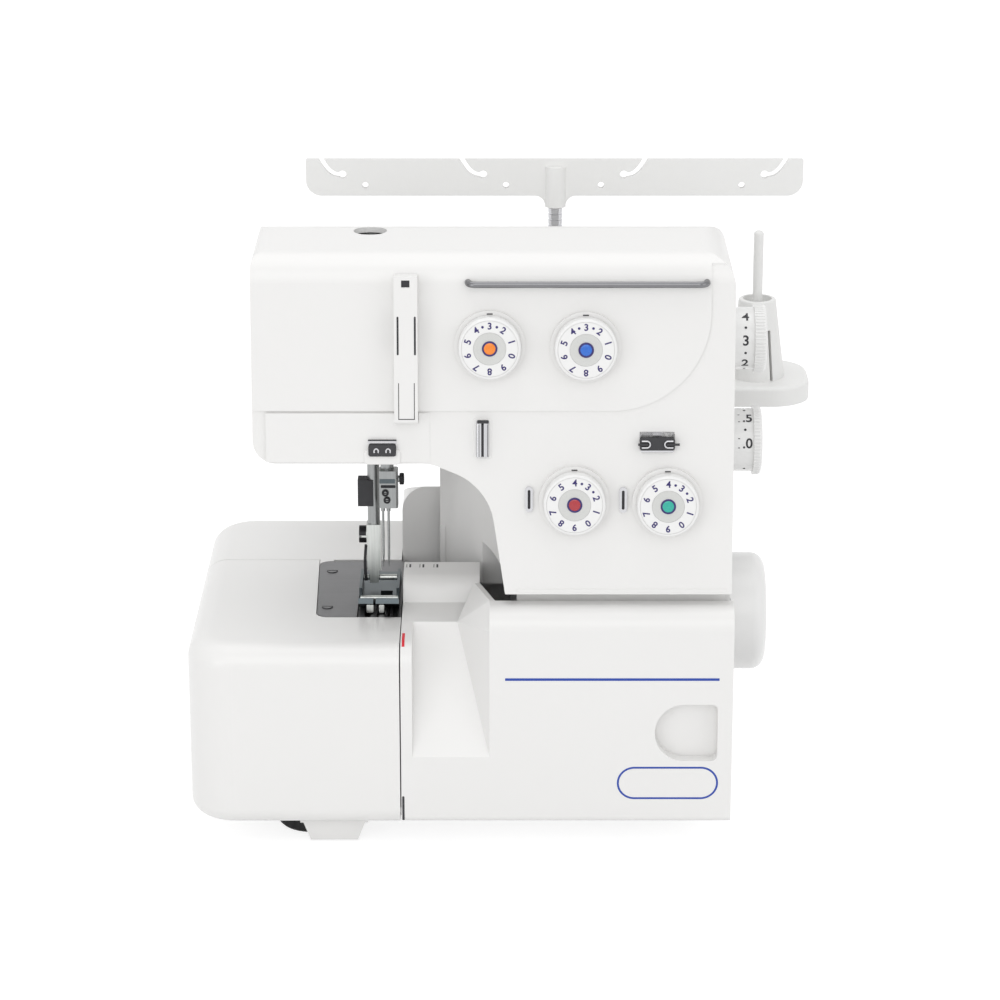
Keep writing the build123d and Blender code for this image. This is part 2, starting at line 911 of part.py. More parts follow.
def rear_housing():
    """The motor's housing behind the column, open to the front and below, its left end's roof sloping."""
    left, right, front, back = rear_block_left, body_right, rear_block_front, bed_back
    form = roofed_block(left, right, front, back, cover_bottom, rear_block_top, rear_block_round)
    form = fillet(form.faces().sort_by(Axis.Y)[-1].edges(), column_corner_round / 2)
    split = column_back_left + rear_roof_lap
    form -= roof_wedge(rear_block_top, split)
    left, right, front, back = left + wall, right - wall, front + wall, back - wall
    top, radius = rear_block_top - wall, rear_block_round - wall
    inside = roofed_block(left, right, front, back, 0, top, radius)
    form -= inside - roof_wedge(top, split + wall)
    form -= roofed_block(frame_middle, right, 0, back, 0, top, radius)
    form -= block(tray_left, right, 0, tray_back, 0, tray_top)
    form -= rod_z(pole_x, pole_y, rear_block_top - overrun, rear_block_top + nick, pole_radius + bush_fit)
    for step in range(motor_vent_count):
        x = motor_left + vent_pitch * step
        low, high = motor_z - motor_vent_half, motor_z + motor_vent_half
        form -= block(x, x + motor_vent_width, bed_back - overrun, bed_back + nick, low, high)
    return form


def right_cover():
    """The lower right end cover, with openings for shaft, switch and inlet."""
    plate = block(
        body_right - wall,
        body_right,
        tray_front + end_cover_inset,
        rear_block_front - rear_gap,
        tray_top + end_cover_inset,
        panel_bottom - nick,
    )
    left, right = body_right - overrun, body_right + overrun
    plate -= rod_x(left, right, shaft_y, shaft_z, shaft_radius + end_cover_shaft_gap)
    half_y, half_z = socket_width / 2, socket_height / 2
    for z in (switch_z, inlet_z):
        plate -= block(left, right, switch_y - half_y, switch_y + half_y, z - half_z, z + half_z)
    return plate


def base_tray():
    """The floor that everything stands on, with the left leg, rod lugs, motor cradle and end rib."""
    right = body_right - wall
    tray = block(tray_left, right, tray_front, tray_back, tray_bottom, tray_top)
    rib_front, rib_back = tray_front + end_cover_inset, rear_block_front - end_cover_inset
    tray += block(right - wall, right, rib_front, rib_back, tray_top, tray_top + end_rib_height)
    riser_back = tray_front + looper_riser
    low, high = looper_rod_height - looper_lug_drop, looper_rod_height + looper_lug_rise
    for x in looper_lugs:
        x0, x1 = x - looper_lug_width / 2, x + looper_lug_width / 2
        tray += block(x0, x1, looper_rod_y, riser_back, low, high)
        tray += block(x0, x1, tray_front, riser_back, tray_top, high)
        tray += rod_x(x0, x1, looper_rod_y, looper_rod_height, looper_rod_radius + looper_lug_wall)
        bore = looper_rod_radius + hinge_fit
        tray -= rod_x(x0 - nick, x1 + nick, looper_rod_y, looper_rod_height, bore)
    for inset in cradle_insets:
        x = motor_left + inset
        top = motor_z - motor_radius * cradle_share
        cradle = block(x, x + cradle_width, motor_y - cradle_half, motor_y + cradle_half, tray_top, top)
        tray += cradle - rod_x(x - nick, x + cradle_width + nick, motor_y, motor_z, motor_radius)
    leg = outline(
        [
            (leg_top_left, tray_top),
            (leg_top_left + leg_taper, leg_lift),
            (leg_top_right - leg_taper, leg_lift),
            (leg_top_right, tray_top),
        ]
    )
    tray += slab_xz(leg, leg_front, leg_front + leg_thickness)
    return tray + block(leg_top_left, leg_top_right, leg_front, tray_front + nick, tray_bottom, tray_top)


def rubber_feet():
    """Four rubber feet under the tray."""
    feet = []
    for x, y in foot_places:
        foot = rod_z(x, y, 0, tray_bottom, foot_radius)
        feet.append(chamfer(foot.edges().group_by(Axis.Z)[0], foot_edge))
    return Compound(children=feet)


def main_frame():
    """The casting: deck and side walls for the shaft, column, arm, bar brackets and plate rails."""
    floor = tray_top + frame_floor
    frame = block(frame_left, frame_right, frame_front, frame_back, tray_top, floor)
    last_wall = frame_right - frame_wall
    seat = shaft_radius + bush_wall
    first_top = shaft_z + frame_left_rise
    for x, top in ((frame_left, first_top), (frame_middle, frame_deck), (last_wall, frame_deck)):
        frame += block(x, x + frame_wall, frame_front, frame_back, tray_top, top)
        frame -= rod_x(x - nick, x + frame_wall + nick, shaft_y, shaft_z, seat)
    deck_top = frame_deck + frame_wall
    frame += block(frame_middle, frame_right, frame_front, frame_back, frame_deck, deck_top)
    column_front, column_back = frame_front + column_front_inset, frame_back - column_back_inset
    frame += block(column_left, column_right, column_front, column_back, deck_top, arm_frame_top)
    frame -= block(
        column_left + column_wall,
        column_right - column_wall,
        0,
        frame_back - column_web,
        deck_top + column_web,
        arm_frame_top - column_web,
    )
    arm_low, arm_right = arm_bottom + arm_frame_lift, column_left + column_wall
    frame += block(arm_frame_left, arm_right, arm_frame_front, arm_frame_back, arm_low, arm_frame_top)
    for z in (bracket_low, bracket_high):
        left, back = presser_x - bracket_left_margin, arm_frame_front + nick
        frame += block(left, bracket_right, bracket_front, back, z, z + bracket_height)
        for x, y, radius in bars:
            frame -= rod_z(x, y, z - nick, z + bracket_height + nick, radius + bar_bush_wall)
    lifter_bore = lifter_shaft + bush_fit
    frame -= rod_y(lifter_x, arm_frame_front - nick, arm_frame_back + nick, lifter_z, lifter_bore)
    rail_front, rail_low = plate_back - rail_width, plate_bottom - rail_drop
    frame += block(plate_left, frame_left + nick, rail_front, plate_back, rail_low, plate_bottom)
    left_front = plate_front + plate_corner
    frame += block(plate_left, plate_left + rail_width, left_front, plate_back, rail_low, plate_bottom)
    feed_low = feed_floor - feed_rail_drop
    frame += block(feed_left, feed_right, feed_front - nick, plate_back, feed_low, feed_floor)
    frame += block(feed_left, feed_right, rail_front, plate_back, feed_low, plate_bottom)
    x, z = lower_looper_pin
    frame += rod_y(x, lower_looper_hub - nick, frame_front + nick, z, looper_pin_radius)
    x, z = upper_looper_pin
    post_back, post_top = frame_front + 2 * looper_post_half, z + looper_post_rise
    frame += block(x - looper_post_half, x + looper_post_half, frame_front, post_back, tray_top, post_top)
    frame += rod_y(x, upper_looper_hub - nick / 2, frame_front + nick, z, looper_pin_radius)
    y, z = knife_pin
    tongue_left, tongue_right = lower_knife_left + knife_thickness, frame_left + frame_wall
    post_front, post_back = y - knife_post_half, y + knife_post_half
    frame += block(tongue_left, tongue_right, post_front, frame_front + nick, tray_top, floor)
    post_left, post_right = frame_left - knife_post_half, frame_left + knife_post_half / 2
    frame += block(post_left, post_right, post_front, post_back, tray_top, z + looper_post_rise)
    return frame + rod_x(tongue_left + knife_gap, frame_left, y, z, looper_pin_radius)


def bushes():
    """Bronze bushes of the main shaft and the two upright bars."""
    rings = []
    for x in (frame_left, frame_right - frame_wall):
        ring = rod_x(x, x + frame_wall, shaft_y, shaft_z, shaft_radius + bush_wall - seat_fit)
        bore = rod_x(x - nick, x + frame_wall + nick, shaft_y, shaft_z, shaft_radius + bush_fit)
        rings.append(ring - bore)
    for z in (bracket_low, bracket_high):
        for x, y, radius in bars:
            ring = rod_z(x, y, z, z + bracket_height, radius + bar_bush_wall - seat_fit)
            rings.append(ring - rod_z(x, y, z - nick, z + bracket_height + nick, radius + bush_fit))
    return Compound(children=rings)


def plate_plan(grow):
    """The needle plate's outline from above, grown by a gap."""
    return outline(
        [
            (plate_left - grow, plate_front - grow),
            (plate_right + grow, plate_front - grow),
            (plate_right + grow, plate_back + grow),
            (plate_back_left - grow, plate_back + grow),
        ],
        [plate_corner + grow, 0, 0, plate_corner + grow],
    )


def needle_plate():
    """Ground plate with the needle slot and the feed dogs' slot."""
    plate = slab_xy(plate_plan(0), plate_bottom, bed_top)
    low, high = plate_bottom - nick, bed_top + nick
    slot_left, slot_right = needle_places[0] - needle_slot_side, needle_places[1] + needle_slot_side
    plate -= block(slot_left, slot_right, -needle_slot_half, needle_slot_half, low, high)
    front, back = feed_front - feed_travel - feed_fit, feed_back + feed_travel + feed_fit
    plate -= block(feed_left - feed_fit, feed_right + feed_fit, front, back, low, high)
    for x, y in plate_screw_places:
        plate -= rod_z(x, y, low, high, plate_screw_radius + plate_screw_fit)
    return plate


def needle_plate_screws():
    """Slotted screws, almost flush with the needle plate."""
    half = plate_screw_slot / 2
    screws = []
    for x, y in plate_screw_places:
        screw = rod_z(x, y, plate_bottom + seat_fit, bed_top + plate_screw_proud, plate_screw_radius)
        low = bed_top - plate_screw_proud
        screws.append(screw - block(x - overrun, x + overrun, y - half, y + half, low, bed_top + nick))
    return Compound(children=screws)


def feed_dog(y0, y1):
    """A toothed feed dog on its slide block."""
    root = plate_bottom - plate_thickness
    dog = block(feed_left, feed_right, y0, y1, feed_floor, root)
    teeth = int((y1 - y0) / tooth_pitch)
    pitch = (y1 - y0) / teeth
    top = bed_top - feed_sink
    for x in (feed_left, feed_right - feed_comb):
        comb = block(x, x + feed_comb, y0, y1, root, top)
        for step in range(teeth):
            y = y0 + pitch * step
            groove = outline([(y, top), (y + pitch, top), (y, top - tooth_depth)])
            comb -= slab_yz(groove, x - nick, x + feed_comb + nick)
        dog += comb
    return dog


def feed_dog_main():
    """The rear feed dog."""
    return feed_dog(feed_centre + feed_middle_gap / 2, feed_back)


def feed_dog_differential():
    """The front feed dog, whose travel the differential dial sets."""
    return feed_dog(feed_front, feed_centre - feed_middle_gap / 2)


def lower_knife():
    """The fixed blade beside the needle plate."""
    top = bed_top - lower_knife_drop
    blade = outline(
        [(knife_front, tray_top), (knife_back, tray_top), (knife_back, top), (knife_front, top - knife_slope)]
    )
    return slab_yz(blade, lower_knife_left, lower_knife_left + knife_thickness)


def upper_knife():
    """The moving blade on its arm."""
    pin_y, pin_z = knife_pin
    left = lower_knife_left + knife_thickness + knife_gap
    right = frame_left - knife_post_half - knife_post_gap
    foot = pin_z - looper_hub_radius / 2
    top = bed_top - upper_knife_drop
    arm = outline(
        [
            (pin_y - knife_hub_half, foot),
            (pin_y + knife_hub_half, foot),
            (knife_back, knife_arm_top),
            (knife_front, knife_arm_top),
        ]
    )
    blade_low = knife_arm_top - knife_arm_lap
    blade = outline(
        [
            (knife_front, blade_low),
            (knife_back, blade_low),
            (knife_back, top - knife_slope),
            (knife_front + knife_arm_lap, top),
        ]
    )
    knife = slab_yz(arm, left, left + knife_arm_thickness) + slab_yz(blade, left, left + knife_thickness)
    knife += rod_x(left, right, pin_y, pin_z, looper_hub_radius)
    return knife - rod_x(left - nick, right + nick, pin_y, pin_z, looper_pin_radius + hinge_fit)


def looper(pin, hub_front, path):
    """A looper: a hub on its pin and a bent arm that ends in a thread point."""
    x, z = pin
    hub_back = hub_front + looper_hub_length
    middle = (hub_front + hub_back) / 2
    arm = outline([(x + across, z + up) for across, up in path])
    piece = slab_xz(arm, middle - looper_thickness / 2, middle + looper_thickness / 2)
    piece += rod_y(x, hub_front, hub_back, z, looper_hub_radius)
    return piece - rod_y(x, hub_front - nick, hub_back + nick, z, looper_pin_radius + hinge_fit)


def lower_looper():
    """The looper that carries its thread under the needle plate."""
    return looper(lower_looper_pin, lower_looper_hub, lower_looper_path)


def upper_looper():
    """The looper that brings its thread up beside the needle plate."""
    return looper(upper_looper_pin, upper_looper_hub, upper_looper_path)


def needle_bar():
    """The upright bar that carries the needle clamp."""
    return rod_z(0, 0, clamp_top, needle_bar_top, needle_bar_radius)


def needle_clamp():
    """Clamp block with its three screws as separate solids."""
    body = block(clamp_left, clamp_right, clamp_front, clamp_back, clamp_bottom, clamp_top)
    body = chamfer(body.edges().filter_by(Axis.Z), clamp_corner)
    half = clamp_screw_slot / 2
    screws = []
    for x, drop in clamp_screws:
        z = clamp_top - drop
        front, back = clamp_front - clamp_screw_proud, clamp_front + clamp_screw_depth
        screw = rod_y(x, front, back, z, clamp_screw_radius)
        body -= screw
        slot = block(x - overrun, x + overrun, front - nick, front + half, z - half, z + half)
        screws.append(screw - slot)
    y, drop = clamp_side_screw
    right = clamp_right + clamp_screw_proud
    side = rod_x(clamp_right - clamp_screw_depth, right, y, clamp_top - drop, clamp_side_radius)
    body -= side
    for x in needle_places:
        body -= rod_z(x, 0, clamp_bottom - nick, clamp_bottom + shank_depth, shank_radius)
    return Compound(children=[body, side] + screws)


def needles():
    """Two needles: shank in the clamp, blade and point."""
    pieces = []
    for x in needle_places:
        blade_low = needle_tip + needle_point
        needle = rod_z(x, 0, blade_low, clamp_bottom, needle_radius)
        needle += rod_z(x, 0, clamp_bottom - shank_drop, clamp_bottom + shank_depth, shank_radius)
        point = Cone(needle_point_radius, needle_radius, needle_point)
        pieces.append(needle + Pos(x, 0, needle_tip + needle_point / 2) * point)
    return Compound(children=pieces)


def presser_bar():
    """The upright presser bar with its lifting collar."""
    bar = rod_z(presser_x, presser_y, holder_top, presser_top, presser_radius)
    return bar + rod_z(presser_x, presser_y, collar_bottom, collar_bottom + collar_height, collar_radius)


def foot_holder():
    """The block on the presser bar that the foot snaps onto."""
    x0, x1 = presser_x - holder_half_width, presser_x + holder_half_width
    y0, y1 = presser_y - holder_half_depth, presser_y + holder_half_depth
    neck_left, neck_right = presser_x - holder_neck_half, presser_x + holder_neck_half
    waist = foot_pin_height + holder_neck
    body = block(x0, x1, y0, y1, waist, holder_top)
    body += block(neck_left, neck_right, y0, y1, holder_bottom, waist)
    body -= rod_x(x0 - nick, x1 + nick, presser_y, foot_pin_height, foot_pin_radius + hinge_fit)
    mouth_front, mouth_back = presser_y - foot_pin_radius, presser_y + foot_pin_radius
    body -= block(x0 - nick, x1 + nick, mouth_front, mouth_back, 0, foot_pin_height)
    z = holder_top - holder_screw_drop
    screw = rod_x(x0 - holder_screw_height, x0, presser_y, z, holder_screw_radius)
    half = holder_screw_slot / 2
    slot_right = x0 - holder_screw_height + holder_screw_slot
    slot = block(x0 - overrun, slot_right, presser_y - overrun, presser_y + overrun, z - half, z + half)
    return Compound(children=[body, screw - slot])


def presser_foot():
    """The snap-on foot: sole with toes, needle slot, ears and cross pin."""
    low = bed_top + foot_rest_gap
    high = low + foot_sole
    side = outline(
        [
            (foot_front, low + foot_toe_rise),
            (foot_front + foot_toe, low),
            (foot_back, low),
            (foot_back, high),
            (foot_front + foot_toe + nick, high),
            (foot_front + nick, high + foot_toe_rise),
        ]
    )
    foot = slab_yz(side, foot_left, foot_right)
    floor, roof = low - nick, high + overrun
    slot_left, slot_right = needle_places[0] - foot_slot_side, needle_places[1] + foot_slot_side
    foot -= block(slot_left, slot_right, foot_slot_front, foot_slot_back, floor, roof)
    toe_left = foot_left + toe_slot_left
    foot -= block(toe_left, toe_left + toe_slot_width, foot_front - nick, toe_slot_back, floor, roof)
    ear_low, ear_high = high - ear_sink, foot_pin_height + ear_top
    for x in (foot_left, foot_right - ear_width):
        foot += block(x, x + ear_width, presser_y - ear_front, presser_y + ear_back, ear_low, ear_high)
    return foot + rod_x(foot_left + nick, foot_right - nick, presser_y, foot_pin_height, foot_pin_radius)


def foot_release_lever():
    """The thin lever behind the holder that lets the foot go."""
    front = presser_y + holder_half_depth + release_gap
    half = holder_half_width - release_inset
    x0, x1 = presser_x - half, presser_x + half
    low, high = holder_bottom + release_low, holder_bottom + release_high
    lever = block(x0, x1, front, front + release_thickness, low, high)
    return lever + block(x0, x1, front, front + release_reach, low, low + release_tongue)


def thread_cutter():
    """The black block on the presser bar."""
    body = block(
        presser_x - cutter_reach,
        presser_x,
        presser_y - cutter_front,
        presser_y + cutter_back,
        clamp_bottom - cutter_drop,
        clamp_bottom + cutter_rise,
    )
    return body - rod_z(presser_x, presser_y, holder_top, presser_top, presser_radius)


def pressure_screw():
    """The slotted screw in the arm's top that sets the foot's pressure."""
    top = body_top - pressure_sink
    screw = rod_z(presser_x, presser_y, presser_top + pressure_gap, top, pressure_radius)
    half = pressure_slot_width / 2
    x0, x1 = presser_x - overrun, presser_x + overrun
    slot_low = top - pressure_slot_depth
    return screw - block(x0, x1, presser_y - half, presser_y + half, slot_low, body_top)


def presser_lifter():
    """Lifting finger, shaft and handle, turning together behind the arm."""
    finger_front = presser_y - lifter_finger_front
    finger_back = presser_y + lifter_finger_back
    handle_front = body_back + lifter_handle_gap
    handle_back = handle_front + lifter_handle_thickness
    lifter = rod_y(lifter_x, finger_front, handle_back, lifter_z, lifter_shaft)
    low = lifter_z - lifter_finger_height
    lifter += block(presser_x + lifter_finger_inset, lifter_x, finger_front, finger_back, low, lifter_z)
    handle = outline(
        [
            (lifter_x, lifter_z + lifter_hub_half),
            (lifter_x - lifter_reach, lifter_z - lifter_hub_half),
            (lifter_x - lifter_reach, lifter_z - lifter_hub_half - lifter_drop),
            (lifter_x, lifter_z - lifter_hub_half),
        ],
        lifter_rounds,
    )
    return lifter + slab_xz(handle, handle_front, handle_back)


def looper_hinge_rod():
    """The rod that the looper cover turns on and slides along."""
    left = looper_lugs[0] - looper_rod_tails[0]
    right = looper_lugs[1] + looper_rod_tails[1]
    return rod_x(left, right, looper_rod_y, looper_rod_height, looper_rod_radius)


def chute():
    """The trimmings chute and knife guard at the looper cover's left end: floor, left rim and right wall."""
    crease = (chute_crease_y, chute_crease_z)
    floor = outline(
        [
            (cover_front, chute_bottom),
            crease,
            (hump_front - hump_lead, chute_crease_z),
            (hump_front, hump_top),
            (hump_back, hump_top),
            (hump_back, hump_top - wall),
            (hump_front + wall / 2, hump_top - wall),
            (hump_front - hump_lead + wall / 2, chute_crease_z - wall),
            (chute_crease_y + wall / 2, chute_crease_z - wall),
            (cover_front + wall, chute_bottom - nick),
        ],
        [0, 0, 0, hump_round, 0, 0, hump_round - wall, 0, 0, 0],
    )
    rim_back = cover_front + 2 * wall
    rim_low = looper_cover_bottom + chute_rim_foot
    rim = outline(
        [
            (cover_front, rim_low),
            (cover_front, bed_top),
            crease,
            (chute_crease_y, chute_crease_z - chute_rim_depth),
            (rim_back, chute_bottom - chute_rim_drop),
            (rim_back, rim_low),
        ],
        [0, cover_edge_round, 0, 0, 0, 0],
    )
    slope = outline(
        [
            (cover_front, chute_bottom),
            crease,
            (chute_crease_y + wall / 2, chute_crease_z - wall),
            (cover_front + wall, chute_bottom - nick),
        ]
    )
    piece = slab_yz(floor, looper_cover_left, hump_right) + slab_yz(slope, hump_right, chute_right + wall)
    piece += slab_yz(rim, looper_cover_left, chute_left)
    foot = Vector(chute_right, cover_front, chute_bottom)
    inner = Vector(chute_crease_right, *crease)
    shoulder = Vector(chute_right, looper_cover_back, looper_cover_top)
    brow = Vector(chute_right, cover_front, looper_cover_top - looper_cover_round)
    guard = Vector(hump_right - wall, hump_front, hump_top - wall)
    for corners in ((foot, inner, brow), (inner, shoulder, brow), (inner, guard, shoulder)):
        piece += extrude(make_face(Polyline(*corners, close=True)), wall, dir=(1, 0, 0))
    return piece


def looper_cover():
    """The front cover below the panel, with its trimmings chute, knife guard and finger recess."""
    low, high, back = looper_cover_bottom, looper_cover_top, looper_cover_back
    outer = outline(
        [(cover_front, low), (cover_front, high), (back, high), (back, low)],
        [looper_cover_toe, looper_cover_round, 0, 0],
    )
    inner = outline(
        [
            (cover_front + wall, low + wall),
            (cover_front + wall, high - wall),
            (back + overrun, high - wall),
            (back + overrun, low + wall),
        ],
        [0, looper_cover_round - wall, 0, 0],
    )
    cover = slab_yz(outer, looper_cover_left, looper_cover_right)
    cover -= slab_yz(inner, looper_cover_left + wall, looper_cover_right - wall)
    air = outline(
        [
            (cover_front - overrun, chute_bottom),
            (cover_front, chute_bottom),
            (chute_crease_y, chute_crease_z),
            (hump_back, chute_crease_z),
            (hump_back, high + overrun),
            (cover_front - overrun, high + overrun),
        ]
    )
    cover -= slab_yz(air, looper_cover_left - nick, chute_right)
    cover += chute()
    cover += block(
        finger_left - finger_wall,
        finger_right + finger_wall,
        cover_front + nick,
        cover_front + finger_depth + wall,
        finger_low - finger_wall,
        finger_high + finger_wall,
    )
    bow = (finger_high - finger_low) / 2 - finger_wall / 10
    recess = outline(
        [
            (finger_left, finger_low),
            (finger_right, finger_low),
            (finger_right, finger_high),
            (finger_left, finger_high),
        ],
        [bow, finger_corner, finger_corner, bow],
    )
    cover -= slab_xz(recess, cover_front - overrun, cover_front + finger_depth)
    half = looper_lug_width / 2 + lug_side_gap
    for x in looper_lugs:
        left, front = x - half - looper_slide, looper_rod_y - lug_front_gap
        cover -= block(left, x + half, front, back + nick, low - nick, low + lug_notch_height)
    for x in looper_lugs:
        left = x + looper_lug_width / 2 + cover_knuckle_gap
        right = left + cover_knuckle_length
        front, rear = looper_rod_y - cover_knuckle_web, looper_rod_y + cover_knuckle_web
        cover += rod_x(left, right, looper_rod_y, looper_rod_height, looper_rod_radius + cover_knuckle_wall)
        cover += block(left, right, front, rear, low + nick, looper_rod_height)
        bore = looper_rod_radius + hinge_fit
        cover -= rod_x(left - nick, right + nick, looper_rod_y, looper_rod_height, bore)
    return cover


def main_shaft():
    """The shaft that drives everything, from the frame to the handwheel."""
    end = body_right + handwheel_gap + handwheel_width - handwheel_web
    return rod_x(shaft_left, end, shaft_y, shaft_z, shaft_radius)


def handwheel():
    """The smooth wheel for turning the shaft by hand."""
    left = body_right + handwheel_gap
    wheel = rod_x(left, left + handwheel_width, shaft_y, shaft_z, handwheel_radius)
    wheel = fillet(wheel.edges().sort_by(Axis.X)[-1], handwheel_round)
    wheel = fillet(wheel.edges().sort_by(Axis.X)[0], handwheel_back_round)
    return wheel - rod_x(left - nick, left + handwheel_width - handwheel_web, shaft_y, shaft_z, shaft_radius)


def drive_pulley():
    """The large pulley on the main shaft."""
    right = pulley_left + pulley_width
    pulley = rod_x(pulley_left, right, shaft_y, shaft_z, drive_pulley_radius)
    return pulley - rod_x(pulley_left - nick, right + nick, shaft_y, shaft_z, shaft_radius)


def motor():
    """The motor with the bearing boss of its shaft."""
    end = motor_left + motor_length
    boss_end = pulley_left - nick
    body = rod_x(motor_left, end, motor_y, motor_z, motor_radius)
    body += rod_x(end, boss_end, motor_y, motor_z, motor_shaft_radius + motor_boss_wall)
    bore_start = motor_left + motor_bore_inset
    return body - rod_x(bore_start, boss_end + nick, motor_y, motor_z, motor_shaft_radius + bush_fit)


def motor_pulley():
    """The small pulley with the motor's shaft."""
    start = motor_left + motor_bore_inset + nick
    pulley = rod_x(pulley_left, pulley_left + pulley_width, motor_y, motor_z, motor_pulley_radius)
    return pulley + rod_x(start, pulley_left + nick, motor_y, motor_z, motor_shaft_radius)


def drive_belt():
    """The belt round both pulleys."""
    hulls = []
    for grow in (belt_gap, belt_gap + belt_thickness):
        big = Pos(shaft_y, shaft_z) * Circle(drive_pulley_radius + grow)
        small = Pos(motor_y, motor_z) * Circle(motor_pulley_radius + grow)
        hulls.append(make_hull(big.edges() + small.edges()))
    return slab_yz(hulls[1] - hulls[0], pulley_left + nick, pulley_left + pulley_width - nick)


def end_dial(z, radius, width, rim_width):
    """A setting dial on the right end: plain drum, knurled rim and shaft."""
    left = body_right + end_dial_gap
    step_x, right = left + width - rim_width, left + width
    rim = rod_x(step_x, right, dial_y, z, radius)
    rim = fillet(rim.edges().sort_by(Axis.X)[-1], end_dial_round)
    for step in range(knurl_count):
        angle = 2 * math.pi * step / knurl_count
        y, height = dial_y + radius * math.cos(angle), z + radius * math.sin(angle)
        rim -= rod_x(step_x - nick, right + nick, y, height, knurl_radius)
    drum = rod_x(left, step_x, dial_y, z, radius - end_dial_step)
    return drum + rim + rod_x(body_right - end_dial_tail, left + nick, dial_y, z, end_dial_shaft)


def stitch_length_dial():
    """The upper dial on the right end."""
    return end_dial(length_dial_z, length_dial_radius, length_dial_width, length_dial_rim)


def differential_feed_dial():
    """The lower dial on the right end."""
    return end_dial(feed_dial_z, feed_dial_radius, feed_dial_width, feed_dial_rim)


def socket_body(z, depth):
    """A rectangular body in the right end cover, with a flange on the outside."""
    y0, y1 = switch_y - socket_half_y, switch_y + socket_half_y
    z0, z1 = z - socket_half_z, z + socket_half_z
    body = block(body_right - depth, body_right + socket_face, y0, y1, z0, z1)
    edge = socket_flange
    return body + block(body_right, body_right + socket_face, y0 - edge, y1 + edge, z0 - edge, z1 + edge)


def power_inlet():
    """The socket for the power lead, with three pins in its well."""
    half_y, half_z = inlet_well_half
    body = socket_body(inlet_z, inlet_depth)
    left = body_right - inlet_well
    y0, y1 = switch_y - half_y, switch_y + half_y
    body -= block(left, body_right + 2 * nick, y0, y1, inlet_z - half_z, inlet_z + half_z)
    half_y, half_z = inlet_pin_half
    for shift in inlet_pins:
        y = switch_y + shift
        right = body_right - inlet_pin_sink
        body += block(left - nick, right, y - half_y, y + half_y, inlet_z - half_z, inlet_z + half_z)
    return body


def rocker_box(grow):
    """The rocker's well: y and z limits."""
    half_y, half_z = socket_width / 2 - rocker_inset[0] + grow, socket_height / 2 - rocker_inset[1] + grow
    return (switch_y - half_y, switch_y + half_y, switch_z - half_z, switch_z + half_z)


def switch_frame():
    """The power switch's fixed frame with the rocker's pivot pin."""
    body = socket_body(switch_z, switch_depth)
    body -= block(body_right - inlet_well, body_right + overrun, *rocker_box(rocker_fit))
    y0, y1 = rocker_box(nick)[:2]
    return body + rod_y(body_right - rocker_pin_depth, y0, y1, switch_z, rocker_pin_radius)


def power_switch():
    """The rocker of the power switch."""
    y0, y1, z0, z1 = rocker_box(0)
    proud, waist = rocker_proud
    shoulder, lip = rocker_ends
    face = outline(
        [
            (body_right - rocker_depth, switch_z - rocker_foot),
            (body_right - rocker_shoulder, z0 + shoulder),
            (body_right + proud, z0 + lip),
            (body_right + waist, switch_z),
            (body_right + proud, z1 - lip),
            (body_right - rocker_shoulder, z1 - shoulder),
            (body_right - rocker_depth, switch_z + rocker_foot),
        ]
    )
    bore = rocker_pin_radius + hinge_fit
    return slab_xz(face, y0, y1) - rod_y(body_right - rocker_pin_depth, y0 - nick, y1 + nick, switch_z, bore)


def tension_dial(x, z):
    """A tension dial with a rounded front edge, on its stem."""
    plane = panel_plane(x, z, bezel_height + dial_gap)
    dial = extrude(plane * Circle(dial_radius), dial_height)
    dial = fillet(dial.edges().sort_by(Axis.Y)[0], dial_round)
    return dial - extrude(plane.offset(-nick) * Circle(stem_radius + bush_fit), dial_height - dial_face)


def tension_stems():
    """Stems behind the panel, each with its two polished tension discs."""
    pieces = []
    length = stem_tail + bezel_height + dial_gap + dial_height - stem_end_gap
    for x, z in tension_places:
        plane = panel_plane(x, z)
        pieces.append(extrude(plane.offset(-stem_tail) * Circle(stem_radius), length))
        for depth in disc_depths:
            disc = extrude(plane.offset(-depth) * Circle(disc_radius), disc_thickness)
            pieces.append(disc - extrude(plane.offset(-depth - nick) * Circle(stem_radius), stem_tail))
    return Compound(children=pieces)


def thread_rod():
    """The polished rod across the panel's top, bent into the panel at both ends."""
    front = panel_y(rod_height) - rod_stand_off
    inside = front + rod_inside
    path = FilletPolyline(
        (rod_left, inside, rod_height),
        (rod_left, front, rod_height),
        (rod_right, front, rod_height),
        (rod_right, inside, rod_height),
        radius=rod_bend,
    )
    start = Plane(origin=path @ 0, z_dir=path % 0)
    return sweep(start * Circle(rod_radius), path=path)


def panel_thread_guides():
    """Polished thread guides on the sunk panel: a tube, a hooked bracket and two slot plates."""
    pieces = []
    width, height, thickness = tube_guide_size
    tube = panel_plane(tube_guide_x, crease_height - tube_guide_drop, -crease_depth)
    pieces.append(extrude(tube * Rectangle(width, height), thickness))
    middle = (looper_guide_left + looper_guide_right) / 2
    width = looper_guide_right - looper_guide_left
    bracket = panel_plane(middle, crease_height - looper_guide_drop, -crease_depth)
    plate = extrude(bracket * Rectangle(width, looper_guide_height), looper_guide_plate)
    lip = (looper_guide_height - looper_guide_lip) / 2
    for shift in (-lip, lip):
        plate += extrude(bracket * Pos(0, shift) * Rectangle(width, looper_guide_lip), looper_guide_reach)
    pieces.append(plate)
    width, height, thickness = slot_guide_size
    slot_width, slot_height, slot_depth = slot_guide_slot
    for x, z in slot_guide_places:
        plane = panel_plane(x, z, -crease_depth)
        plate = extrude(plane * Rectangle(width, height), thickness)
        slot = extrude(plane.offset(thickness - slot_depth) * Rectangle(slot_width, slot_height), overrun)
        pieces.append(plate - slot)
    return Compound(children=pieces)


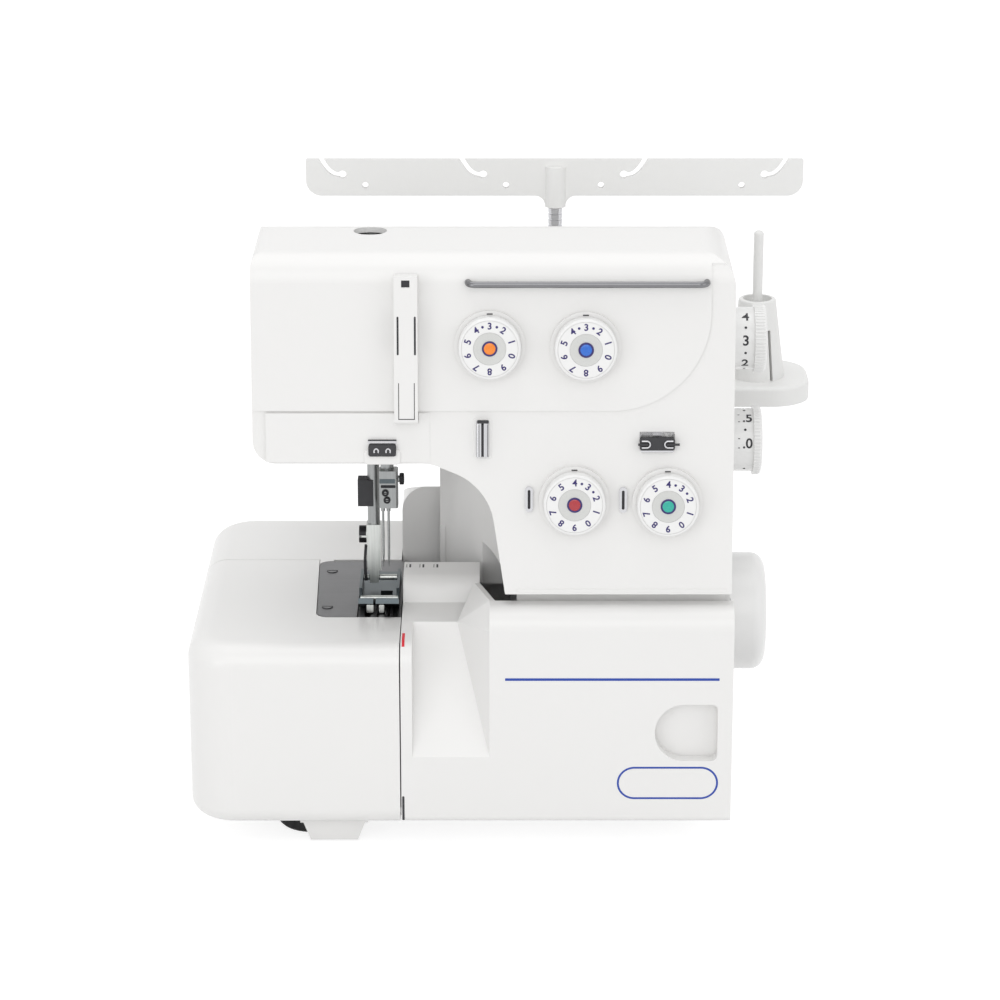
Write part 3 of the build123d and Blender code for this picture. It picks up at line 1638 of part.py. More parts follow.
def face_thread_guide():
    """The small two-hole guide on the face cover."""
    width, height, thickness = face_guide_size
    place, radius, depth = face_guide_holes
    plane = panel_plane(0, arm_bottom + face_guide_rise, face_cover_depth - crease_depth)
    plate = extrude(plane * Rectangle(width, height), thickness)
    plate = chamfer(plate.edges().group_by(Axis.Y)[0], face_guide_edge)
    for x in (-place, place):
        plate -= extrude(plane.offset(thickness - depth) * Pos(x, 0) * Circle(radius), overrun)
    return plate


def take_up_cover():
    """The channel over the needle thread take-up, slotted on both sides."""
    plane = panel_plane(take_up_middle, (take_up_low + take_up_high) / 2)
    length = (take_up_high - take_up_low) / math.cos(lean)
    cover = extrude(plane * Rectangle(take_up_width, length), take_up_depth)
    cover = fillet(cover.edges().filter_by(Axis.X).group_by(Axis.Y)[0], take_up_round)
    sunk = (crease_height - take_up_low) / math.cos(lean)
    heel = plane.offset(-crease_depth) * Pos(0, (sunk - length) / 2)
    cover += extrude(heel * Rectangle(take_up_width, sunk - take_up_low_gap), crease_depth)
    slot = extrude(plane.offset(-nick) * Rectangle(take_up_slot, length - take_up_end), take_up_depth - nick)
    depth, shift, height, width = take_up_window
    window = extrude(plane.offset(depth) * Pos(0, shift) * Rectangle(take_up_width + nick, height), width)
    drop, hole_width, hole_height = take_up_hole
    hole = extrude(plane * Pos(0, length / 2 - drop) * Rectangle(hole_width, hole_height), overrun)
    return cover - slot - window - hole


def take_up_lever():
    """The lever that draws up the needle thread, turning on a pin behind the panel."""
    x, y, z = take_up_pivot()
    face = outline([(y + back, z + up) for back, up in take_up_lever_path])
    lever = slab_yz(face, x - take_up_lever_half, x + take_up_lever_half)
    return lever + rod_x(x - take_up_pin_half, x + take_up_pin_half, y, z, take_up_pin_radius)


def sewing_lamp():
    """The lamp block under the arm, held by its flange."""
    top = arm_bottom + wall
    lens = lamp_block(0, arm_bottom - lamp_drop, top)
    return lens + lamp_block(lamp_flange, top, top + lamp_flange_height)


def spool_stand():
    """The thread stand: plate, neck to the casing and two legs to the rear housing."""
    plan = outline(
        [
            (stand_left, stand_front),
            (stand_right, stand_front),
            (stand_right, stand_back),
            (stand_left, stand_back),
        ],
        stand_round,
    )
    plate = slab_xy(plan, stand_bottom, stand_top)
    plate = fillet(plate.edges().group_by(Axis.Z)[-1], stand_edge)
    neck_left, neck_right = pole_x - stand_neck_half, pole_x + stand_neck_half
    neck_back, neck_top = stand_front + stand_neck_lap, stand_top - stand_neck_drop
    plate += block(neck_left, neck_right, body_back, neck_back, stand_bottom, neck_top)
    leg_front_face, leg_back_face = stand_front + stand_leg_front, stand_back - stand_leg_back
    for x in (pole_x - stand_leg_place, pole_x + stand_leg_place):
        left, right = x - stand_leg_half, x + stand_leg_half
        plate += block(left, right, leg_front_face, leg_back_face, rear_block_top, stand_bottom)
    plate -= rod_z(pole_x, pole_y, stand_bottom - nick, stand_top + nick, pole_radius + bush_fit)
    for x in spool_places:
        plate -= rod_z(x, pole_y, stand_bottom + stand_edge, stand_top + nick, spool_pin_root)
    return plate


def spool_pins():
    """Four upright pins for thread spools, thicker inside the cone holders."""
    shoulder = stand_top + cone_height
    pins = []
    for x in spool_places:
        pin = rod_z(x, pole_y, shoulder, stand_top + spool_pin_length, spool_pin_radius)
        pin = fillet(pin.edges().group_by(Axis.Z)[-1], spool_pin_tip)
        pins.append(pin + rod_z(x, pole_y, stand_bottom + stand_edge, shoulder, spool_pin_root))
    return Compound(children=pins)


def cone_holders():
    """Four slit cones that centre a thread cone on its pin, each with a cup in its top."""
    cones = []
    top = stand_top + cone_height
    for x in spool_places:
        cone = Cone(cone_base_radius, cone_top_radius, cone_height)
        cone = Pos(x, pole_y, stand_top + cone_height / 2) * cone
        cone = fillet(cone.edges().group_by(Axis.Z)[-1], cone_edge)
        core = rod_z(x, pole_y, 0, reach, spool_pin_root + cone_core_wall)
        cup = rod_z(x, pole_y, top - cone_cup, top + nick, cone_top_radius - cone_wall)
        cone -= cup
        for turn in (cone_slit_turn, cone_slit_turn + 90):
            middle = stand_top + cone_slit_height / 2 - nick
            slit = Box(3 * cone_base_radius, cone_slit, cone_slit_height)
            cone -= Pos(x, pole_y, middle) * Rot(0, 0, turn) * slit - core
        cones.append(cone - rod_z(x, pole_y, stand_top - nick, top + nick, spool_pin_root))
    return Compound(children=cones)


def pole_outer():
    """The fixed tube of the telescopic pole."""
    tube = rod_z(pole_x, pole_y, pole_bottom, pole_top, pole_radius)
    return tube - rod_z(pole_x, pole_y, pole_bottom + pole_floor, pole_top + nick, pole_bore)


def pole_inner():
    """The sliding rod of the telescopic pole."""
    return rod_z(pole_x, pole_y, pole_bottom + 2 * pole_floor, rail_top - pole_seat, pole_inner_radius)


def thread_rail():
    """The guide bar on the pole, flared into its sleeve, with four hooked slots and four eyes."""
    low_round, top_round = rail_corners
    face = outline(
        [
            (rail_left, rail_top),
            (rail_left, rail_bottom),
            (pole_x - sleeve_radius, rail_bottom),
            (pole_x - sleeve_radius, sleeve_bottom),
            (pole_x + sleeve_radius, sleeve_bottom),
            (pole_x + sleeve_radius, rail_bottom),
            (rail_right, rail_bottom),
            (rail_right, rail_top),
        ],
        [top_round, low_round, sleeve_flare, 0, 0, sleeve_flare, low_round, top_round],
    )
    front, back = pole_y - rail_thickness / 2, pole_y + rail_thickness / 2
    rail = slab_xz(face, front, back)
    slot_z = rail_bottom + rail_slot_rise
    for place, side in zip(rail_slot_places, (-1, -1, 1, 1)):
        path = Bezier(*[(place + side * across, slot_z + up) for across, up in rail_slot_path])
        hook = trace(path, rail_slot_width) + Pos(place, slot_z) * Circle(rail_slot_ball)
        rail -= slab_xz(hook, front - nick, back + nick)
        eye = place - side * rail_eye_shift
        rail -= rod_y(eye, front - nick, back + nick, slot_z - rail_eye_drop, rail_eye_radius)
    rail += rod_z(pole_x, pole_y, sleeve_bottom, rail_top - sleeve_cap, sleeve_radius)
    return rail - rod_z(pole_x, pole_y, sleeve_bottom - nick, rail_top - pole_seat, pole_inner_radius)


def all_parts():
    """Every piece by name, before the move to the machine's middle."""
    makers = (
        base_tray, rubber_feet, main_frame, front_cover, rear_cover, face_cover, right_cover,
        rear_housing, rear_bed_cover, side_cover, side_cover_pin, looper_cover, looper_hinge_rod,
        needle_plate, needle_plate_screws, lower_knife, upper_knife, lower_looper, upper_looper,
        feed_dog_main, feed_dog_differential, needle_bar, needle_clamp, needles, presser_bar,
        foot_holder, presser_foot, foot_release_lever, thread_cutter, pressure_screw, presser_lifter,
        bushes, main_shaft, handwheel, drive_pulley, motor, motor_pulley, drive_belt,
        stitch_length_dial, differential_feed_dial, power_inlet, switch_frame, power_switch,
        tension_stems, thread_rod, panel_thread_guides, face_thread_guide, take_up_cover,
        take_up_lever, sewing_lamp, spool_stand, spool_pins, cone_holders, pole_outer, pole_inner,
        thread_rail,
    )
    parts = {maker.__name__: maker() for maker in makers}
    for name, (x, z) in zip(tension_names, tension_places):
        parts[name] = tension_dial(x, z)
    return parts


def main():
    """Writes one file for each piece."""
    os.makedirs("parts", exist_ok=True)
    for name, piece in all_parts().items():
        solids = [Pos(-centre_x, -centre_y, 0) * solid for solid in piece.solids()]
        export_step(solids[0] if len(solids) == 1 else Compound(children=solids), f"parts/{name}.step")


if __name__ == "__main__":
    main()
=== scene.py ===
"""Looks of a serger overlock machine: finishes for its solids, and knobs, print, guides and screws.

Lengths typed in millimetres are turned into metres by MM. Places are typed from the point on the table
below the needles, x to the right, y to the back and z up, and moved to the frame by spot().
"""

import json
import math

import bmesh
import bpy
import numpy as np
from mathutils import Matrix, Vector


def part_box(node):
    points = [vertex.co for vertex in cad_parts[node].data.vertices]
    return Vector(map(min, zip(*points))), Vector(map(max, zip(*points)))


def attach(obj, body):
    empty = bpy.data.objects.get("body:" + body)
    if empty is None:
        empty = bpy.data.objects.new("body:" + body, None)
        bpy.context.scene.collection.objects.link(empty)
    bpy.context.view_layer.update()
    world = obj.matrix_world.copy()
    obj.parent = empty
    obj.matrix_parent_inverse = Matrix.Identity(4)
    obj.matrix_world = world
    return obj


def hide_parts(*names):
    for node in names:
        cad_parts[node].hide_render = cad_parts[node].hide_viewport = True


bl_info = {
    "name": "Serger Overlock Machine Looks",
    "version": (1, 0, 0),
    "blender": (4, 5, 0),
    "location": "3D View > Sidebar > Serger",
    "description": "Finishes, knobs, print, thread guides, screws and stage of a serger overlock machine",
    "category": "Object",
}

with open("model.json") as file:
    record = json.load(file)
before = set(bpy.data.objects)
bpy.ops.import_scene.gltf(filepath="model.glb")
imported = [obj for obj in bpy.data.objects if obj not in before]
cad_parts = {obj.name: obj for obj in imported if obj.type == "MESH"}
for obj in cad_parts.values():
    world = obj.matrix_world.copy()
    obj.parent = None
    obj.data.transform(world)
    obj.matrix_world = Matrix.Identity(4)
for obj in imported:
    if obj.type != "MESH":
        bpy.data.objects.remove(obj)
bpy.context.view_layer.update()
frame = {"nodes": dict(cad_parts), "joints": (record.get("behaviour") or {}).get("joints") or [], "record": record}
JOINTS = {joint["name"]: joint for joint in frame["joints"]}
SLOT_OF = {row["node"]: row["material_slot"] for row in frame["record"]["subparts"]}

MM = 0.001
PRESSER_BAR = (-7.0, 6.6)
DATUM = np.append(np.array(JOINTS["pressure_screw_turn"]["pos_m"][:2]) / MM - PRESSER_BAR, 0.0)
CAMERA = ((55.0 + DATUM[0]) * MM, -1.6079, 0.6826)
PANEL_LEAN = math.radians(6.0)
PANEL_FOOT = (-60.0, 128.0)
PANEL_SINK = -1.0
FACE_COVER_OUT = 0.39
TAKE_UP_OUT = 9.0
BEZEL_OUT = 2.0
LOOPER_COVER_FRONT = -70.0
CLAMP_FRONT = -5.5
REAR_COVER_BACK = 55.0
HOUSING_BACK = 127.0
RIGHT_END = 165.0
POLE_PLACE = (83.0, 105.0)
PRINT = 0.06
BITE = 0.05
DISH_SINK = 0.35 * MM
DIGIT_TURN = math.radians(36.0)
WELD = 2e-6
SLIVER = 1e-7
SMOOTH_UP_TO = math.radians(32.0)
MIRROR = np.array((-1, 1))
WHITE = (1.0, 1.0, 1.0, 1.0)
LAMP_AIM = (0.0, 0.0, 0.14)
KNOBS = (
    ("left_needle", 3, "jewel_orange"),
    ("right_needle", 3, "jewel_blue"),
    ("upper_looper", 4, "jewel_red"),
    ("lower_looper", 4, "jewel_green"),
)
SIDES = {
    "front": ((1, 0, 0), (0, -1, 0)),
    "back": ((-1, 0, 0), (0, 1, 0)),
    "top": ((1, 0, 0), (0, 0, 1)),
    "left": ((0, -1, 0), (-1, 0, 0)),
    "right": ((0, 1, 0), (1, 0, 0)),
}


def mm(*values):
    """Millimetres as an array in metres."""
    return np.array(values, dtype=float) * MM


def spot(x, y, z):
    """A place in the frame, in metres, from millimetres beside the needles."""
    return (np.array((x, y, z), dtype=float) + DATUM) * MM


class Face:
    """A flat place to build on: local (across, up, out) is counted from its origin along its axes."""

    def __init__(self, origin, right, out):
        out = np.array(out, dtype=float) / np.linalg.norm(out)
        self.origin = np.array(origin, dtype=float)
        self.axes = np.stack((right, np.cross(out, right), out))

    def place(self, solid, across=0.0, up=0.0):
        """The solid, moved by millimetres across and up, turned from local axes into the frame."""
        points, faces = solid
        return self.origin + (np.asarray(points) + mm(across, up, 0.0)) @ self.axes, faces


def panel_face(x, z, out=0.0):
    """A place on the leaning front panel."""
    foot_y, foot_z = PANEL_FOOT
    y = foot_y + math.tan(PANEL_LEAN) * (z - foot_z)
    normal = np.array((0.0, -math.cos(PANEL_LEAN), math.sin(PANEL_LEAN)))
    return Face(spot(x, y, z) + normal * out * MM, (1, 0, 0), normal)


def face_at(side, x, y, z):
    """A place on a surface that looks to one side of the machine."""
    return Face(spot(x, y, z), *SIDES[side])


def grid_faces(rows, columns, wrap_rows, wrap_columns):
    """Quads between neighbours of a rows by columns grid, closed round where it wraps."""
    row_count = rows if wrap_rows else rows - 1
    column_count = columns if wrap_columns else columns - 1
    row, column = np.meshgrid(np.arange(row_count), np.arange(column_count), indexing="ij")
    next_row, next_column = (row + 1) % rows, (column + 1) % columns
    corners = (
        row * columns + column,
        next_row * columns + column,
        next_row * columns + next_column,
        row * columns + next_column,
    )
    return np.stack(corners, axis=-1).reshape(-1, 4).tolist()


def tube_faces(loops, count):
    """Quads between loops of points, with the first and the last loop closed."""
    ends = [list(range(count)), list(range((loops - 1) * count, loops * count))]
    return grid_faces(loops, count, False, True) + ends


def lathe(profile, steps, flute=0.0, flutes=0, ring=False):
    """A profile of (radius, height) turned round the out axis.

    At turn t a point is (r cos t, r sin t, height), and its radius r may swell by flute times
    cos(flutes t).
    """
    profile = np.asarray(profile, dtype=float)
    turn = np.linspace(0, 2 * np.pi, steps, endpoint=False)
    radius = profile[:, 0][None, :] * (1 + flute * np.cos(flutes * turn))[:, None]
    height = np.broadcast_to(profile[:, 1], radius.shape)
    points = np.stack((radius * np.cos(turn)[:, None], radius * np.sin(turn)[:, None], height), axis=-1)
    return points.reshape(-1, 3), grid_faces(steps, len(profile), True, ring)


def carried(path, profile, up):
    """A closed profile carried along an open path.

    At each path point the profile's (a, b) goes a along the side, which is tangent cross up, and b along
    the lift, which is side cross tangent. Both ends are closed.
    """
    path, profile = np.asarray(path, dtype=float), np.asarray(profile, dtype=float)
    tangent = np.gradient(path, axis=0)
    tangent /= np.linalg.norm(tangent, axis=1)[:, None]
    side = np.cross(tangent, np.asarray(up, dtype=float))
    side /= np.linalg.norm(side, axis=1)[:, None]
    lift = np.cross(side, tangent)
    points = path[:, None] + profile[None, :, :1] * side[:, None] + profile[None, :, 1:] * lift[:, None]
    return points.reshape(-1, 3), tube_faces(len(path), len(profile))


def prism(outline, low, high):
    """A flat outline pulled from one height to another."""
    outline = np.asarray(outline, dtype=float)
    count = len(outline)
    heights = np.repeat((low, high), count)
    points = np.column_stack((np.tile(outline, (2, 1)), heights))
    return points, tube_faces(2, count)


def pillow(outline, low, high, edge):
    """A flat outline pulled up, whose top edge is rounded.

    Level k of the rounding stands at high - edge (1 - sin t), and its outline is scaled so that it draws
    in by edge (1 - cos t) at its widest.
    """
    outline = np.asarray(outline, dtype=float)
    reach = np.abs(outline).max(axis=0)
    turn = np.linspace(0, np.pi / 2, 6)
    heights = np.concatenate(((low,), high - edge * (1 - np.sin(turn))))
    shrink = np.concatenate(((0.0,), edge * (1 - np.cos(turn))))
    scale = 1 - shrink[:, None] / reach[None, :]
    flat = outline[None] * scale[:, None, :]
    rows, columns = flat.shape[:2]
    level = np.broadcast_to(heights[:, None, None], (rows, columns, 1))
    points = np.concatenate((flat, level), axis=-1)
    return points.reshape(-1, 3), tube_faces(rows, columns)


def band(outer, inner, low, high):
    """The flat band between two outlines with as many points: four loops closed both ways round."""
    count = len(outer)
    loops = [
        np.column_stack((flat, np.full(count, height)))
        for flat, height in ((outer, low), (outer, high), (inner, high), (inner, low))
    ]
    return np.concatenate(loops), grid_faces(4, count, True, True)


def rounded(width, height, radius, steps=8):
    """A rectangle with round corners: quarter circles of the radius about four inset corner points."""
    turn = np.linspace(0, np.pi / 2, steps)
    quarter = turn[None] + np.arange(4)[:, None] * np.pi / 2
    centre_x = (width / 2 - radius) * np.array((1, -1, -1, 1))[:, None]
    centre_y = (height / 2 - radius) * np.array((1, 1, -1, -1))[:, None]
    x, y = centre_x + radius * np.cos(quarter), centre_y + radius * np.sin(quarter)
    return np.stack((x, y), axis=-1).reshape(-1, 2)


def circle(radius, steps):
    """Points round a circle."""
    turn = np.linspace(0, 2 * np.pi, steps, endpoint=False)
    return radius * np.column_stack((np.cos(turn), np.sin(turn)))


def tile(width, height, corner, low, high, edge=0.0):
    """A plate with round corners, in millimetres, whose top edge may be rounded as well."""
    outline = rounded(width * MM, height * MM, corner * MM)
    if edge:
        return pillow(outline, low * MM, high * MM, edge * MM)
    return prism(outline, low * MM, high * MM)


def inked(outline):
    """A thin film for print and for painted shade: an outline from just below a surface to just above it."""
    return prism(outline, -BITE * MM, PRINT * MM)


def inked_bar(width, height, corner, steps=8):
    """A bar of thin film with round corners, in millimetres, for print and for painted shade."""
    return inked(rounded(width * MM, height * MM, corner * MM, steps))


def straight(start, end, steps):
    """Points at even steps from one place to another, both typed in millimetres."""
    return np.linspace(start, end, steps) * MM


def on_circle(solid, radius, out, turn):
    """A solid moved up by a radius and out, and then turned about the out axis."""
    points, faces = solid
    c, s = math.cos(turn), math.sin(turn)
    spin = np.array(((c, s, 0), (-s, c, 0), (0, 0, 1)))
    return (np.asarray(points) + (0.0, radius, out)) @ spin, faces


def wrapped(solid, centre, radius, angle):
    """A flat solid bent round an axis along x.

    Local (across, up, out) goes to x + across, at the angle + up / radius above the front, radius + out
    from the axis.
    """
    points, faces = solid
    across, up, out = np.asarray(points).T
    turn = angle + up / radius
    place = np.column_stack((across, -(radius + out) * np.cos(turn), (radius + out) * np.sin(turn)))
    return place + centre, faces


def lettering(text, height, weight):
    """Plain lettering as a film of print, bolder by a weight, centred and scaled to the height."""
    curve = bpy.data.curves.new("lettering", "FONT")
    curve.body = text
    curve.extrude = 0.5
    curve.offset = weight
    curve.resolution_u = 4
    holder = bpy.data.objects.new("lettering", curve)
    bpy.context.scene.collection.objects.link(holder)
    bpy.context.view_layer.update()
    mesh = bpy.data.meshes.new_from_object(holder.evaluated_get(bpy.context.evaluated_depsgraph_get()))
    points = np.empty(len(mesh.vertices) * 3)
    mesh.vertices.foreach_get("co", points)
    points = points.reshape(-1, 3)
    faces = [list(polygon.vertices) for polygon in mesh.polygons]
    bpy.data.objects.remove(holder)
    bpy.data.curves.remove(curve)
    bpy.data.meshes.remove(mesh)
    low, high = points.min(axis=0), points.max(axis=0)
    points = points - (low + high) / 2
    points[:, :2] *= height / (high[1] - low[1])
    points[:, 2] = np.where(points[:, 2] > 0, PRINT, -BITE) * MM
    return points, faces


def make_piece(name, solids, finish, body, stands_for=()):
    """One mesh object from closed solids in the frame, smooth but for its edges, riding on a body."""
    counts = np.cumsum([0] + [len(points) for points, _ in solids])
    points = np.concatenate([points for points, _ in solids])
    groups = zip((faces for _, faces in solids), counts)
    faces = [[int(index + start) for index in face] for group, start in groups for face in group]
    mesh = bpy.data.meshes.new(name)
    mesh.from_pydata(points.tolist(), [], faces)
    work = bmesh.new()
    work.from_mesh(mesh)
    bmesh.ops.remove_doubles(work, verts=work.verts, dist=WELD)
    bmesh.ops.dissolve_degenerate(work, edges=work.edges, dist=SLIVER)
    bmesh.ops.recalc_face_normals(work, faces=work.faces)
    work.to_mesh(mesh)
    work.free()
    mesh.polygons.foreach_set("use_smooth", [True] * len(mesh.polygons))
    mesh.set_sharp_from_angle(angle=SMOOTH_UP_TO)
    mesh.materials.append(bpy.data.materials[finish])
    piece = bpy.data.objects.new(name, mesh)
    bpy.context.scene.collection.objects.link(piece)
    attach(piece, body)
    if stands_for:
        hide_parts(*stands_for)


def dress(nodes, finish):
    """Gives a finish to solids that keep their own shape."""
    for node in nodes:
        mesh = frame["nodes"][node].data
        mesh.materials.clear()
        mesh.materials.append(bpy.data.materials[finish])


class Wire:
    """A shader value that can be added and multiplied: each operator adds a Math node."""

    def __init__(self, nodes, socket):
        self.nodes = nodes
        self.socket = socket

    def maths(self, operation, first, second):
        """A Math node on two values or wires."""
        return self.nodes.node("ShaderNodeMath", {"operation": operation}, {0: first, 1: second})

    def __add__(self, other):
        return self.maths("ADD", self, other)

    def __radd__(self, other):
        return self.maths("ADD", other, self)

    def __mul__(self, other):
        return self.maths("MULTIPLY", self, other)

    def __rmul__(self, other):
        return self.maths("MULTIPLY", other, self)


class Nodes:
    """A node tree under construction."""

    def __init__(self, tree):
        self.tree = tree

    def node(self, kind, settings, sockets, output=0):
        """A node of a kind: its settings first, then the values or wires of its sockets."""
        made = self.tree.nodes.new(kind)
        for key, value in settings.items():
            setattr(made, key, value)
        self.fill(made, sockets)
        return Wire(self, made.outputs[output])

    def fill(self, made, sockets):
        """Values or wires for a node's sockets."""
        for key, value in sockets.items():
            if isinstance(value, Wire):
                self.tree.links.new(value.socket, made.inputs[key])
            else:
                made.inputs[key].default_value = value

    def seen(self):
        """1 for rays from the camera, off mirrors and through glass, and 0 for all others."""
        rays = ("Is Camera Ray", "Is Glossy Ray", "Is Transmission Ray")
        camera, glossy, through = (self.node("ShaderNodeLightPath", {}, {}, ray) for ray in rays)
        return camera.maths("MAXIMUM", camera.maths("MAXIMUM", camera, glossy), through)

    def show(self, output, share, first, second):
        """Sends a mix of two shaders to the surface of the tree's output."""
        mix = self.node("ShaderNodeMixShader", {}, {0: share, 1: first, 2: second})
        self.fill(self.tree.nodes[output], {"Surface": mix})


class Finish(Nodes):
    """A material under construction, around one Principled shader."""

    def __init__(self, name, **constants):
        self.material = bpy.data.materials.new(name)
        self.material.use_nodes = True
        super().__init__(self.material.node_tree)
        self.shader = self.tree.nodes["Principled BSDF"]
        self.plug(**constants)

    def plug(self, **sockets):
        """Values or wires for the shader's sockets, spaces in their names written as underscores."""
        self.fill(self.shader, {key.replace("_", " "): value for key, value in sockets.items()})

    def noise(self, size, detail, stretch=(1.0, 1.0, 1.0)):
        """Cloudy noise on Object coordinates, from 0 to 1, in patches of about a size in metres."""
        where = self.node("ShaderNodeTexCoord", {}, {}, "Object")
        place = self.node("ShaderNodeMapping", {}, {"Vector": where, "Scale": stretch})
        sockets = {"Vector": place, "Scale": 1.0 / size, "Detail": detail, "Roughness": 0.55}
        return self.node("ShaderNodeTexNoise", {}, sockets)

    def blend(self, share, first, second):
        """A colour between two by a share from 0 to 1."""
        return self.node("ShaderNodeMix", {"data_type": "RGBA"}, {0: share, 6: first, 7: second}, 2)

    def ramp(self, value, low, high):
        """A value spread so that low becomes 0 and high becomes 1."""
        sockets = {"Value": value, "From Min": low, "From Max": high, "To Min": 0.0, "To Max": 1.0}
        return self.node("ShaderNodeMapRange", {"clamp": True}, sockets)

    def relief(self, height, depth, strength=1.0):
        """Bumps of a depth in metres."""
        sockets = {"Strength": strength, "Distance": depth, "Height": height}
        self.plug(Normal=self.node("ShaderNodeBump", {}, sockets))

    def seams(self, reach):
        """From 0 on open faces to 1 deep in gaps and corners: the mask of painted shade."""
        settings = {"samples": 4, "only_local": False}
        open_share = self.node("ShaderNodeAmbientOcclusion", settings, {"Distance": reach}, "AO")
        return self.ramp(open_share, 0.75, 0.15)


def shade(colour, level):
    """A colour made darker or lighter, with full cover."""
    return tuple(min(1.0, part * level) for part in colour[:3]) + (1.0,)


def moulded_finish(name, colour, gloss, grain, depth, coat=0.0):
    """Moulded plastic: faint grain, slow changes of tone and gloss, and painted shade that greys it in the gaps.
    """
    finish = Finish(name, Coat_Weight=coat, Coat_Roughness=0.12, IOR=1.49)
    slow = finish.noise(0.09, 3.0)
    tone = finish.blend(slow, shade(colour, 0.985), shade(colour, 1.0))
    # Painted shade: ambient occlusion darkens the tone towards grey in gaps and corners.
    tone_with_gap_shade = finish.blend(finish.seams(0.004) * 0.35, tone, shade((0.58, 0.57, 0.55), 1.0))
    fine = finish.noise(grain, 2.0)
    rubbed = finish.noise(0.03, 4.0)
    finish.plug(Base_Color=tone_with_gap_shade, Roughness=gloss - 0.05 + 0.08 * rubbed + 0.03 * fine)
    finish.relief(fine, depth, 0.35)


def brushed_finish(name, colour, gloss, stretch):
    """Ground steel: long streaks along one axis, in tone, gloss and relief, with a few cloudy marks."""
    finish = Finish(name, Metallic=1.0)
    streak = finish.noise(0.0009, 3.0, stretch)
    cloud = finish.noise(0.012, 3.0)
    tone = finish.blend(streak, shade(colour, 0.72), shade(colour, 1.15))
    finish.plug(Base_Color=tone, Roughness=gloss - 0.06 + 0.14 * streak + 0.08 * cloud)
    finish.relief(streak, 4e-6)


def patchy_finish(name, colour, patches, tones, gloss, **constants):
    """One noise, of a size and detail, moves the colour between two tones and adds to the gloss."""
    finish = Finish(name, **constants)
    patch = finish.noise(*patches)
    low, high = tones
    plain, added = gloss
    finish.plug(Base_Color=finish.blend(patch, shade(colour, low), shade(colour, high)))
    finish.plug(Roughness=plain + added * patch)
    return finish, patch


def plated_finish(name, colour, gloss):
    """Bright plating: nearly a mirror, with faint smears and specks."""
    finish, _ = patchy_finish(name, colour, (0.006, 4.0), (0.9, 1.0), (gloss, 0.09), Metallic=1.0)
    finish.relief(finish.noise(0.0006, 1.0), 1e-6, 0.4)


def dark_finish(name, colour, gloss, grain, metallic, worn):
    """Black plastic, rubber or blued steel: mottled, grained, and greyer where it is rubbed."""
    finish = Finish(name, Metallic=metallic, Specular_IOR_Level=0.2)
    fine = finish.noise(grain, 3.0)
    rubbed = finish.ramp(finish.noise(0.009, 4.0), 0.45, 0.75)
    tone = finish.blend(rubbed * worn + 0.08 * fine, shade(colour, 1.0), shade((0.22, 0.22, 0.23), 1.0))
    finish.plug(Base_Color=tone, Roughness=gloss + 0.14 * fine)
    finish.relief(fine, grain * 0.05, 0.5)


def cast_finish(name, colour, gloss, grain):
    """Cast or sintered metal: pitted, with uneven tone."""
    finish, pits = patchy_finish(name, colour, (grain, 4.0), (0.7, 1.1), (gloss, 0.2), Metallic=0.85)
    finish.relief(pits, grain * 0.12, 0.8)


def print_finish(name, colour):
    """Printed ink, also used for black painted shade: slightly uneven cover, satin."""
    patchy_finish(name, colour, (0.0005, 2.0), (0.85, 1.1), (0.42, 0.12))


def jewel_finish(name, colour):
    """Clear coloured plastic over a print: glossy, deeper in tone in soft patches."""
    coat = {"Coat_Weight": 0.7, "Coat_Roughness": 0.05}
    patchy_finish(name, colour, (0.003, 2.0), (0.82, 1.12), (0.22, 0.1), **coat)


def dish_finish(name, colour):
    """Pearly grey foil in the knob's middle: fine sparkle."""
    finish, sparkle = patchy_finish(
        name, colour, (0.0004, 2.0), (0.9, 1.08), (0.35, 0.15), Metallic=0.25
    )
    finish.relief(sparkle, 6e-6, 0.4)


def lens_finish(name, colour):
    """Milky lamp lens: cloudy, glossy."""
    milk = {"Coat_Weight": 0.5, "Subsurface_Weight": 0.2}
    patchy_finish(name, colour, (0.004, 3.0), (0.93, 1.0), (0.25, 0.1), **milk)


def colour_value(name, description, default):
    """A colour that a user may change."""
    return bpy.props.FloatVectorProperty(
        name=name, description=description, default=default, subtype="COLOR", size=3, min=0.0, max=1.0
    )


def length_value(name, description, default):
    """A length that a user may change, typed here in millimetres."""
    default *= MM
    return bpy.props.FloatProperty(name=name, description=description, default=default, unit="LENGTH")


def power_value(name, description, default):
    """A lamp's power that a user may change."""
    return bpy.props.FloatProperty(name=name, description=description, default=default, unit="POWER")


